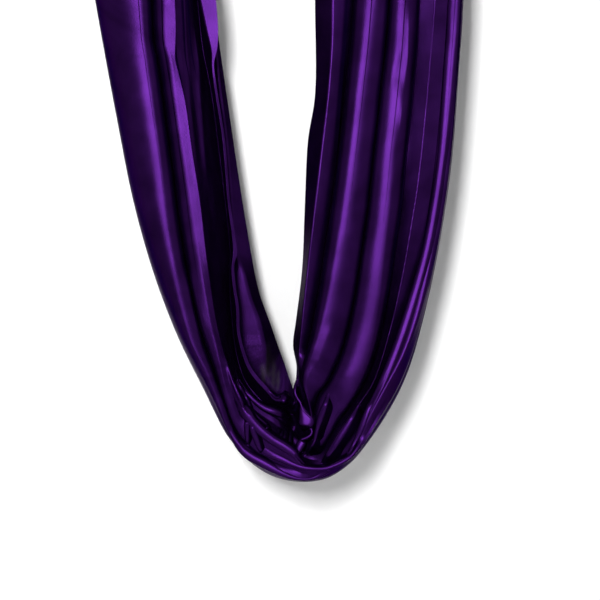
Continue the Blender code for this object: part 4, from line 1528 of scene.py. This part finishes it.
@dataclass
class CeilingAnchor:
    """A steel plate with a welded eye, held up by four coach screws on washers."""

    side: str
    place: float
    steel: Finish
    plate: Point3 = (0.100, 0.050, 0.005)
    corner: float = 0.008
    rod: float = 0.005
    leg: float = 0.017
    bend_z: float = -0.018
    hole: float = 0.0045
    shank: float = 0.004
    screw_x: float = 0.038
    screw_y: float = 0.013
    washer: tuple[float, float, float] = (0.008, -0.0069, -0.0053)
    head: tuple[float, float, float] = (0.013, -0.0125, -0.0072)
    chamfer: float = 0.0011
    tip_z: float = 0.0478
    threaded: float = 0.030
    point: float = 0.010
    thread_depth: float = 0.0007
    thread_radius: float = 0.0009
    thread_pitch: float = 0.0030
    thread_turns: int = 6
    bead_out: float = 0.0007
    bead_radius: float = 0.0019
    bead_sides: int = 44

    def places(self) -> list[Point2]:
        """Where the four screws stand, in their numbered order."""
        return [(i * self.screw_x, j * self.screw_y) for i in (-1, 1) for j in (-1, 1)]

    def plate_piece(self) -> Piece:
        """The drilled plate, its bent eye and the two beads that weld them together."""
        thick = self.plate[2]
        plate = block("plate", self.plate, (0.0, 0.0, -thick / 2))
        in_edit(plate)
        bpy.ops.mesh.select_mode(type="EDGE")
        made = bmesh.from_edit_mesh(plate.data)
        for edge in made.edges:
            edge.select_set(abs(edge.verts[0].co.z - edge.verts[1].co.z) > thick / 2)
        bmesh.update_edit_mesh(plate.data)
        bpy.ops.mesh.bevel(offset=self.corner, segments=7, affect="EDGES")
        closed(plate)
        for x, y in self.places():
            drill = turned("drill", ((self.hole, -2 * thick), (self.hole, thick)), 32)
            worked(plate, moved(drill, (x, y, 0.0)), "DIFFERENCE")
        softened(plate, 0.0005)
        down = self.bend_z + thick / 2
        bend = Bend((0.0, 0.0, self.bend_z), (0.0, 1.0, 0.0), math.pi)
        moves = (Run((0.0, 0.0, down)), bend, Run((0.0, 0.0, -down)))
        eye = softened(bent_rod("eye", self.rod, (-self.leg, 0.0, -thick / 2), moves), 0.0003)
        beads = [self.bead_piece(x, -thick) for x in (-self.leg, self.leg)]
        return joined([plate, eye, *beads], f"{self.side}_plate_and_eye")

    def bead_piece(self, x: float, z: float) -> Piece:
        """The weld bead round one leg of the eye, pressed in at every third step as a welder lays it."""
        deselect_all()
        bpy.ops.mesh.primitive_torus_add(
            major_radius=self.rod + self.bead_out,
            minor_radius=self.bead_radius,
            major_segments=self.bead_sides,
            minor_segments=12,
            location=(x, 0.0, z - 0.0002),
        )
        bead = settle(bpy.context.active_object)
        in_edit(bead)
        bpy.ops.mesh.select_mode(type="VERT")
        made = bmesh.from_edit_mesh(bead.data)
        for vert in made.verts:
            turn = round(math.atan2(vert.co.y, vert.co.x - x) / (2 * math.pi) * self.bead_sides)
            vert.select_set(turn % 3 == 0)
        bmesh.update_edit_mesh(bead.data)
        bpy.ops.transform.resize(value=(0.965, 0.965, 0.80), center_override=(x, 0.0, z))
        closed(bead)
        bpy.ops.object.shade_smooth()
        return bead

    def screw_piece(self) -> Piece:
        """A coach screw: chamfered hexagon head, shank, thread and point."""
        across, low, high = self.head
        corner = across / 2 / math.cos(math.pi / 6)
        deselect_all()
        bpy.ops.mesh.primitive_cylinder_add(
            vertices=6, radius=corner, depth=high - low, location=(0.0, 0.0, (low + high) / 2)
        )
        head = settle(bpy.context.active_object)
        outside = corner * 1.02
        blank = turned("blank", ((across * 0.46, low), (outside, low + self.chamfer), (outside, high)), 48)
        worked(head, blank, "INTERSECT")
        softened(head, 0.00025)
        neck, point = self.tip_z - self.threaded, self.tip_z - self.point
        core = self.shank - self.thread_depth
        plain = ((self.shank, high - 0.001), (self.shank, neck))
        cut = ((core, neck + 0.001), (core, point), (self.shank * 0.25, self.tip_z))
        shaft = turned("shaft", (*plain, *cut), 28)
        bpy.ops.object.shade_smooth_by_angle(angle=math.radians(50.0))
        deselect_all()
        bpy.ops.mesh.primitive_circle_add(
            vertices=3,
            radius=self.thread_radius,
            fill_type="NOTHING",
            location=(self.shank - 0.0004, 0.0, neck + 0.0016),
            rotation=(math.pi / 2, 0.0, 0.0),
        )
        thread = settle(bpy.context.active_object)
        winding = thread.modifiers.new("winding", "SCREW")
        winding.axis, winding.screw_offset = "Z", self.thread_pitch
        winding.iterations, winding.steps, winding.render_steps = self.thread_turns, 20, 20
        apply_all(thread)
        in_edit(thread)
        bpy.ops.mesh.select_all(action="SELECT")
        bpy.ops.mesh.fill_holes(sides=0)
        closed(thread)
        return joined([head, shaft, thread], "coach_screw")

    def build(self) -> None:
        """Makes the plate, the washers and the screws of one side."""
        plate = moved(self.plate_piece(), (self.place, 0.0, 0.0))
        hang(plate, f"{self.side}_anchor_plate", self.steel)
        outer, low, high = self.washer
        rings = ((self.hole, high), (outer, high), (outer, low), (self.hole, low))
        for index, (x, y) in enumerate(self.places(), 1):
            place = (self.place + x, y, 0.0)
            ring = softened(turned(f"{self.side}_flat_washer_{index}", rings, 40, True), 0.0002)
            hang(moved(ring, place), f"{self.side}_washer_{index}", self.steel)
            screw = moved(self.screw_piece(), place, (0.0, 0.0, 0.35 * index))
            screw.name = f"{self.side}_coach_screw_{index}"
            hang(screw, f"{self.side}_lag_screw_{index}", self.steel)


@dataclass
class ScrewGate:
    """An oval screw-gate carabiner: bent rod, hinged gate on its pin, and a knurled sleeve."""

    name: str
    pin: Point3
    alloy: Finish
    sleeve_alloy: Finish
    steel: Finish
    rod: float = 0.005
    bend: float = 0.020
    stub_top: float = 0.0065
    top_bend: float = 0.0125
    bottom_bend: float = -0.0455
    nose: float = -0.0335
    tongue: Point3 = (0.004, 0.008, 0.0135)
    slot: Point2 = (0.0046, 0.0070)
    gate_top: float = 0.0035
    gate_end: float = -0.0330
    pin_size: Point2 = (0.0015, 0.009)
    bore: Point2 = (0.0024, -0.0235)
    sleeve_inner: float = 0.0053
    sleeve_outer: float = 0.0080
    sleeve_grip: float = 0.0071
    sleeve_span: Point2 = (-0.0085, -0.0285)
    knurls: int = 24
    knurl_height: float = 0.00045
    knurl_gap: float = 0.00012
    wear_reach: float = 0.009

    def body_piece(self) -> Piece:
        """The bent rod with its hinge tongue, and its wear where it bears."""
        x = (1.0, 0.0, 0.0)
        moves = (
            Run((0.0, 0.0, self.top_bend - self.stub_top)),
            Bend((0.0, self.bend, self.top_bend), x, math.pi),
            Run((0.0, 0.0, self.bottom_bend - self.top_bend)),
            Bend((0.0, self.bend, self.bottom_bend), x, math.pi),
            Run((0.0, 0.0, self.nose - self.bottom_bend)),
        )
        rod = softened(bent_rod("rod", self.rod, (0.0, 0.0, self.stub_top), moves), 0.0006, 3)
        tongue = block("tongue", self.tongue, (0.0, 0.0, self.stub_top + 0.002 - self.tongue[2] / 2))
        body = joined([rod, softened(tongue, 0.0008, 3)], self.name)
        places = np.array([vert.co for vert in body.data.vertices])
        wear = np.zeros(len(places))
        for height in (self.top_bend + self.bend - self.rod, self.bottom_bend - self.bend + self.rod):
            away = np.linalg.norm(places - np.array([0.0, self.bend, height]), axis=1)
            wear = np.maximum(wear, np.exp(-((away / self.wear_reach) ** 2)))
        mark(body.data, "wear", wear)
        return body

    def gate_piece(self) -> Piece:
        """The gate with its ears, slot and spring bore."""
        gate = turned("gate", ((self.rod, self.gate_end), (self.rod, self.gate_top)), 40)
        width, reach = self.slot
        worked(gate, block("saw", (width, 4 * self.rod, 2 * reach)), "DIFFERENCE")
        radius, floor = self.bore
        worked(gate, turned("drill", ((radius, floor), (radius, 0.0)), 24), "DIFFERENCE")
        return softened(gate, 0.0004)

    def sleeve_piece(self) -> Piece:
        """The screw sleeve: two plain bands with straight knurls between them."""
        top, bottom = self.sleeve_span
        band = (top - bottom) / 5
        inner, outer, grip = self.sleeve_inner, self.sleeve_outer, self.sleeve_grip
        half = ((grip, 0.0), (outer, 0.35 * band), (outer, band), (grip, 1.2 * band))
        rings = [(inner, top)] + [(radius, top - drop) for radius, drop in half]
        rings += [(radius, bottom + drop) for radius, drop in reversed(half)] + [(inner, bottom)]
        sleeve = turned("sleeve", rings, 2 * self.knurls, True)
        in_edit(sleeve)
        middle = (top + bottom) / 2

        def on_knurl(place: Vector) -> bool:
            """Whether a face is the outside of one of the knurls."""
            turn = math.atan2(place.y, place.x) / (2 * math.pi) * 2 * self.knurls
            outside = math.hypot(place.x, place.y) > (inner + grip) / 2
            return outside and abs(place.z - middle) < band and math.floor(turn) % 2 == 0

        choose(sleeve, on_knurl)
        bpy.ops.mesh.inset(thickness=self.knurl_gap, use_individual=True)
        bpy.ops.mesh.extrude_region_shrink_fatten(TRANSFORM_OT_shrink_fatten={"value": self.knurl_height})
        return softened(closed(sleeve), self.knurl_gap, 1)

    def build(self) -> None:
        """Makes the carabiner's pieces. Its spring keeps its CAD shape."""
        radius, long = self.pin_size
        half = long / 2
        ends, shoulder = radius * 0.8, half - 0.0003
        rivet = ((ends, -half), (radius, -shoulder), (radius, shoulder), (ends, half))
        pin = moved(turned("pin", rivet, 24), (0.0, 0.0, 0.0), (0.0, math.pi / 2, 0.0))
        bpy.ops.object.shade_smooth_by_angle(angle=math.radians(50.0))
        for piece, word, finish, slot in (
            (self.body_piece(), "carabiner", self.alloy, "carabiner_metal"),
            (self.gate_piece(), "gate", self.alloy, "carabiner_metal"),
            (pin, "gate_pin", self.steel, "steel"),
            (self.sleeve_piece(), "sleeve", self.sleeve_alloy, "sleeve_metal"),
        ):
            piece.name = f"{self.name}_{word}_finished"
            hang(moved(piece, self.pin), f"{self.name}_{word}", finish)
        spring = frame["nodes"][f"{self.name}_gate_spring"]
        spring.data.materials[0] = self.steel


def outward(mesh: bpy.types.Mesh) -> None:
    """Turns a closed mesh's faces outwards if its signed volume says that they point in."""
    made = bmesh.new()
    made.from_mesh(mesh)
    if made.calc_volume(signed=True) < 0:
        bmesh.ops.reverse_faces(made, faces=made.faces)
        made.to_mesh(mesh)
    made.free()


def laid(name: str, rings: Array, lengths: Array, around: Array, joins: bool) -> Piece:
    """Makes a closed strip or rope of soft goods from its sections.

    Args:
        name: The piece's name.
        rings: Points of each section, by section and corner.
        lengths: Distance along the piece of each section.
        around: Distance round the section of each corner, and of the first one again.
        joins: Whether the last section joins the first, or else both ends are capped.

    Returns:
        The piece, with a UV map in metres.
    """
    count_r, count_c = rings.shape[:2]
    rows = count_r if joins else count_r - 1
    faces, pairs = [], []
    for row in range(rows):
        after = (row + 1) % count_r
        for column in range(count_c):
            beside = (column + 1) % count_c
            near, far = row * count_c, after * count_c
            faces.append((near + column, near + beside, far + beside, far + column))
            low, high = lengths[row], lengths[row + 1]
            left, right = around[column], around[column + 1]
            pairs += [(low, left), (low, right), (high, right), (high, left)]
    if not joins:
        for row in (0, count_r - 1):
            columns = range(count_c) if row else range(count_c - 1, -1, -1)
            faces.append(tuple(row * count_c + column for column in columns))
            pairs += [(lengths[row], around[column]) for column in columns]
    mesh = bpy.data.meshes.new(name)
    mesh.from_pydata(rings.reshape(-1, 3).tolist(), [], faces)
    map_cloth(mesh, np.array(pairs))
    mesh.shade_smooth()
    outward(mesh)
    return placed(name, mesh)


def along(points: Array) -> Array:
    """Distance along a line of points, from its first."""
    return np.concatenate([[0.0], np.cumsum(np.linalg.norm(np.diff(points, axis=0), axis=1))])


def stepped(points: Array, step: float) -> Array:
    """The same line with its points evenly apart."""
    run = along(points)
    wanted = np.linspace(0.0, run[-1], max(2, round(run[-1] / step) + 1))
    return np.column_stack([np.interp(wanted, run, column) for column in points.T])


@dataclass
class DaisyStrap:
    """An extension strap: doubled webbing with an eye at each end, and a second one tacked on as pockets."""

    side: str
    sign: int
    webbing: Finish
    thread: Finish
    top_z: float = -0.1227
    length: float = 0.400
    width: float = 0.016
    thickness: float = 0.0024
    eye: float = 0.00881
    ply: float = 0.00123
    shoulder: float = 0.032
    pockets: int = 4
    pitch: float = 0.078
    room: float = 0.0075
    tack_share: float = 0.22
    seat: float = 0.0027
    thread_radius: float = 0.00028
    stitches: int = 26
    stitch: float = 0.0026
    margin: float = 0.0016
    bar_shift: float = 0.0038
    throat: float = 0.0035

    def strip(self, name: str, path: Array, joins: bool) -> Piece:
        """Lays webbing along a path of X and Z, with rounded selvedges."""
        half, thin = self.width / 2, self.thickness / 2
        flat = np.linspace(-half + thin, half - thin, 9)
        turn = np.linspace(-math.pi / 2, math.pi / 2, 6)[1:-1]
        bulge, rise, face = half - thin + thin * np.cos(turn), thin * np.sin(turn), np.full(9, thin)
        across = np.concatenate([flat, bulge, flat[::-1], -bulge])
        through = np.concatenate([-face, rise, face, -rise])
        if joins:
            step = np.roll(path, -1, axis=0) - np.roll(path, 1, axis=0)
        else:
            step = np.gradient(path, axis=0)
        step /= np.linalg.norm(step, axis=1)[:, None]
        normal = np.column_stack([-step[:, 1], step[:, 0]])
        rings = np.zeros((len(path), len(across), 3))
        rings[..., 0] = path[:, :1] + normal[:, :1] * through
        rings[..., 1] = across
        rings[..., 2] = path[:, 1:] + normal[:, 1:] * through
        lengths = along(np.vstack([path, path[:1]])) if joins else along(path)
        return laid(name, rings, lengths, np.append(across, across[0]), joins)

    def main_path(self) -> Array:
        """The doubled webbing's middle line: round one eye, down, round the other and up."""
        lean = math.asin((self.eye - self.ply) / math.hypot(self.shoulder, self.ply))
        turn = np.linspace(-lean, math.pi + lean, 40)
        eye = np.column_stack([self.eye * np.cos(turn), self.eye * np.sin(turn)])
        neck = np.array([[-self.ply, -self.shoulder]])
        upper = np.vstack([eye, neck])
        lower = np.column_stack([-upper[:, 0], -self.length - upper[:, 1]])
        corners = np.vstack([upper, lower, upper[:1]])
        smooth = stepped(corners, 0.002)[:-1]
        return smooth + np.array([self.sign * HANG_X, self.top_z])

    def stand_off(self, share: Array) -> Array:
        """How far the pockets stand off the main webbing, at shares of one pitch."""
        middle = np.clip((share - self.tack_share / 2) / (1 - self.tack_share), 0.0, 1.0)
        return self.room * np.sin(math.pi * middle) ** 0.8

    def pocket_path(self) -> Array:
        """The pocket webbing's middle line, from the top down."""
        start = (self.length - self.pockets * self.pitch) / 2
        share = np.linspace(0.0, self.pockets, self.pockets * 52 + 1)
        off = self.seat + self.thickness / 2 + self.stand_off(share % 1.0)
        kernel = np.array([1.0, 2.0, 3.0, 2.0, 1.0]) / 9.0
        off[2:-2] = np.convolve(off, kernel, "valid")
        x = self.sign * (HANG_X + off)
        return np.column_stack([x, self.top_z - start - self.pitch * share])

    def bar(self, z: float, face: float) -> Piece:
        """One bar tack: a dense zigzag of thread across the strap.

        Args:
            z: Height of the bar's middle.
            face: X of the webbing's face that the thread lies on.

        Returns:
            The bar.
        """
        count, edge = 2 * self.stitches + 1, self.width / 2 - self.margin
        across = np.linspace(-edge, edge, count)
        sway = np.where(np.arange(count) % 2 == 0, -self.stitch / 2, self.stitch / 2)
        path = np.column_stack([np.full(count, face), across, z + sway])
        turn = np.linspace(0.0, 2 * math.pi, 6)[:-1]
        off = np.stack([np.cos(turn), np.zeros(5), np.zeros(5)], axis=-1)
        rings = path[:, None] + self.thread_radius * off
        step = np.gradient(path, axis=0)
        step /= np.linalg.norm(step, axis=1)[:, None]
        side = np.cross(step, (1.0, 0.0, 0.0))
        rings = rings + self.thread_radius * np.sin(turn)[None, :, None] * side[:, None]
        return laid("bar", rings, along(path), np.arange(6) * self.thread_radius, False)

    def build(self) -> None:
        """Makes the strap's two webbings and their stitching."""
        main = self.strip(f"{self.side}_doubled_webbing", self.main_path(), True)
        pockets = self.strip(f"{self.side}_pocket_webbing", self.pocket_path(), False)
        hang(main, f"{self.side}_strap_webbing", self.webbing)
        hang(pockets, f"{self.side}_strap_pockets", self.webbing)
        start = self.top_z - (self.length - self.pockets * self.pitch) / 2
        tacks = [start - self.pitch * index for index in range(self.pockets + 1)]
        inner = self.sign * HANG_X - self.sign * (self.ply + self.thickness / 2 + self.thread_radius / 3)
        outer = self.sign * (HANG_X + self.seat + self.thickness + self.thread_radius / 3)
        plain = self.sign * (HANG_X + self.ply + self.thickness / 2 + self.thread_radius / 3)
        bars = []
        for index, z in enumerate(tacks):
            for shift in (-self.bar_shift, self.bar_shift):
                shown = z + shift
                if index in (0, self.pockets):
                    inward = 0.002 + self.bar_shift
                    shown = z + (-inward if index == 0 else inward) + shift * 0.45
                bars += [self.bar(shown, inner), self.bar(shown, outer)]
        throat = self.shoulder + self.throat
        for z in (self.top_z - throat, self.top_z - self.length + throat):
            bars += [self.bar(z, inner), self.bar(z, plain)]
        stitching = joined(bars, f"{self.side}_strap_stitching")
        dress(stitching, self.thread)
        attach(stitching, frame["nodes"][f"{self.side}_strap_webbing"]["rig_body"])


@dataclass
class EndKnot:
    """One end of the sheet, gathered into a rope and tied round its carabiner.

    The rope comes up out of the pleats, over the rod and down, winds round itself and leaves as a tail
    behind.
    """

    side: str
    place: float
    satin: Finish
    middle_z: float = -0.6727
    rod_above: float = 0.052
    loop_radius: float = 0.0163
    rope: float = 0.011
    wraps: float = 2.5
    wrap_radii: Point2 = (0.0205, 0.0180)
    wrap_rope: float = 0.0118
    tail_rope: float = 0.0125
    lobes: int = 13
    pleat_depth: float = 0.17
    twist: float = 5.0
    collar_span: Point2 = (-0.014, -0.0425)
    collar_radii: Point2 = (0.0150, 0.0250)
    collar_rows: int = 14
    collar_lobes: int = 21
    collar_depth: float = 0.20
    around: int = 78
    step: float = 0.0026

    def route(self) -> Array:
        """Middle line and radius of the rope, about the knot's middle."""
        loop, above = self.loop_radius, self.rod_above
        points = [(0.0, 0.0, -0.040, 0.0150), (-0.002, 0.0, -0.020, 0.0130), (-0.007, 0.0, 0.004, 0.0115)]
        points += [(-0.0135, 0.0, 0.026, self.rope)]
        for turn in np.linspace(math.pi, 0.0, 7):
            points.append((loop * math.cos(turn), 0.0, above + loop * math.sin(turn), self.rope))
        points += [(0.0150, -0.004, 0.036, self.rope)]
        wide, deep = self.wrap_radii
        start = math.radians(-20.0)
        finish = start - 2 * math.pi * self.wraps
        for turn in np.linspace(start, finish, 23):
            share = (turn - start) / (finish - start)
            height = 0.0205 - 0.0405 * share
            points.append((wide * math.cos(turn), deep * math.sin(turn), height, self.wrap_rope))
        tail = self.tail_rope
        points += [(-0.004, 0.0240, -0.010, self.rope), (0.001, 0.0366, -0.0085, tail)]
        points += [(0.001, 0.0465, -0.026, tail), (0.0, 0.0500, -0.055, tail)]
        points += [(0.0, 0.0510, -0.090, tail * 1.04), (0.0, 0.0506, -0.1275, tail * 1.10)]
        return stepped(dense_curve(np.array(points), 8, 3), self.step)

    def hank(self, name: str, route: Array, lobes: int, depth: float, twist: float) -> Piece:
        """Gathers the cloth along a route as a pleated rope.

        Args:
            name: The piece's name.
            route: Middle line and radius.
            lobes: Pleats round the rope.
            depth: How deep the pleats are, as a share of the radius.
            twist: Turns of the pleats for each metre.

        Returns:
            The closed piece.
        """
        line, radius = route[:, :3], route[:, 3]
        ahead = np.gradient(line, axis=0)
        ahead /= np.linalg.norm(ahead, axis=1)[:, None]
        side = np.array([0.0, 1.0, 0.0])
        turn = np.linspace(0.0, 2 * math.pi, self.around, endpoint=False)
        run = along(line)
        rings = []
        for place, size, forward, reach in zip(line, radius, ahead, run):
            side = side - forward * side.dot(forward)
            side /= np.linalg.norm(side)
            other = np.cross(forward, side)
            uneven = turn + 0.22 * np.sin(2 * turn + 1.0 + 9 * reach) + 0.13 * np.sin(3 * turn + 2.0)
            phase = lobes / 2 * uneven + 2 * math.pi * twist * reach
            crest = np.abs(np.sin(phase)) ** 0.55
            swell = 1.0 + 0.04 * np.sin(2 * turn + 60 * reach)
            reach_out = size * swell * (1.0 - depth + depth * crest)
            rings.append(
                place + reach_out[:, None] * (np.cos(turn)[:, None] * side + np.sin(turn)[:, None] * other)
            )
        mean = 2 * math.pi * radius.mean() * 1.25
        return laid(name, np.array(rings), run, np.linspace(0.0, mean, self.around + 1), False)

    def build(self) -> list[Piece]:
        """Makes the rope and the gathered collar under it.

        Returns:
            The pieces, which belong to the sheet.
        """
        rope = self.hank(f"{self.side}_knot_rope", self.route(), self.lobes, self.pleat_depth, self.twist)
        heights = np.linspace(*self.collar_span, self.collar_rows)
        share = (heights - heights[0]) / (heights[-1] - heights[0])
        flare = self.collar_radii[0] + (self.collar_radii[1] - self.collar_radii[0]) * share**0.7
        middle = np.zeros(self.collar_rows)
        collar_route = np.column_stack([middle, middle, heights, flare])
        name = f"{self.side}_knot_collar"
        collar = self.hank(name, collar_route, self.collar_lobes, self.collar_depth, 0.0)
        for piece in (rope, collar):
            moved(piece, (self.place, 0.0, self.middle_z))
            piece.data.materials.append(self.satin)
            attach(piece, "hammock")
        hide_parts(f"{self.side}_end_knot")
        LOG.info("%s end knot: %d faces", self.side, len(rope.data.polygons))
        return [rope, collar]


def main() -> None:
    """Builds the scene: camera, studio, cloth and hardware."""
    logging.basicConfig(level=logging.INFO, format="%(message)s")
    view = PhotoView()
    view.build()
    Studio().build()
    satin = SatinCloth().make()
    cloth = HammockCloth(view)
    sheet = cloth.build(satin)
    extras = [CrookFolds(view, sheet).build(satin)]
    steel = ZincSteel().make()
    alloy = AnodisedAlloy("anodised_alloy").make()
    sleeve_alloy = AnodisedAlloy("anodised_sleeve", 0.42).make()
    webbing, thread = WovenWebbing().make(), SewingThread().make()
    for side, sign in SIDES:
        CeilingAnchor(side, sign * HANG_X, steel).build()
        for level, pin_z in (("upper", UPPER_PIN_Z), ("lower", LOWER_PIN_Z)):
            pin = (sign * HANG_X, -0.020, pin_z)
            ScrewGate(f"{side}_{level}", pin, alloy, sleeve_alloy, steel).build()
        DaisyStrap(side, sign, webbing, thread).build()
        extras += EndKnot(side, sign * HANG_X, satin).build()
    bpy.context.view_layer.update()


if __name__ == "__main__":
    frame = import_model()
    main()
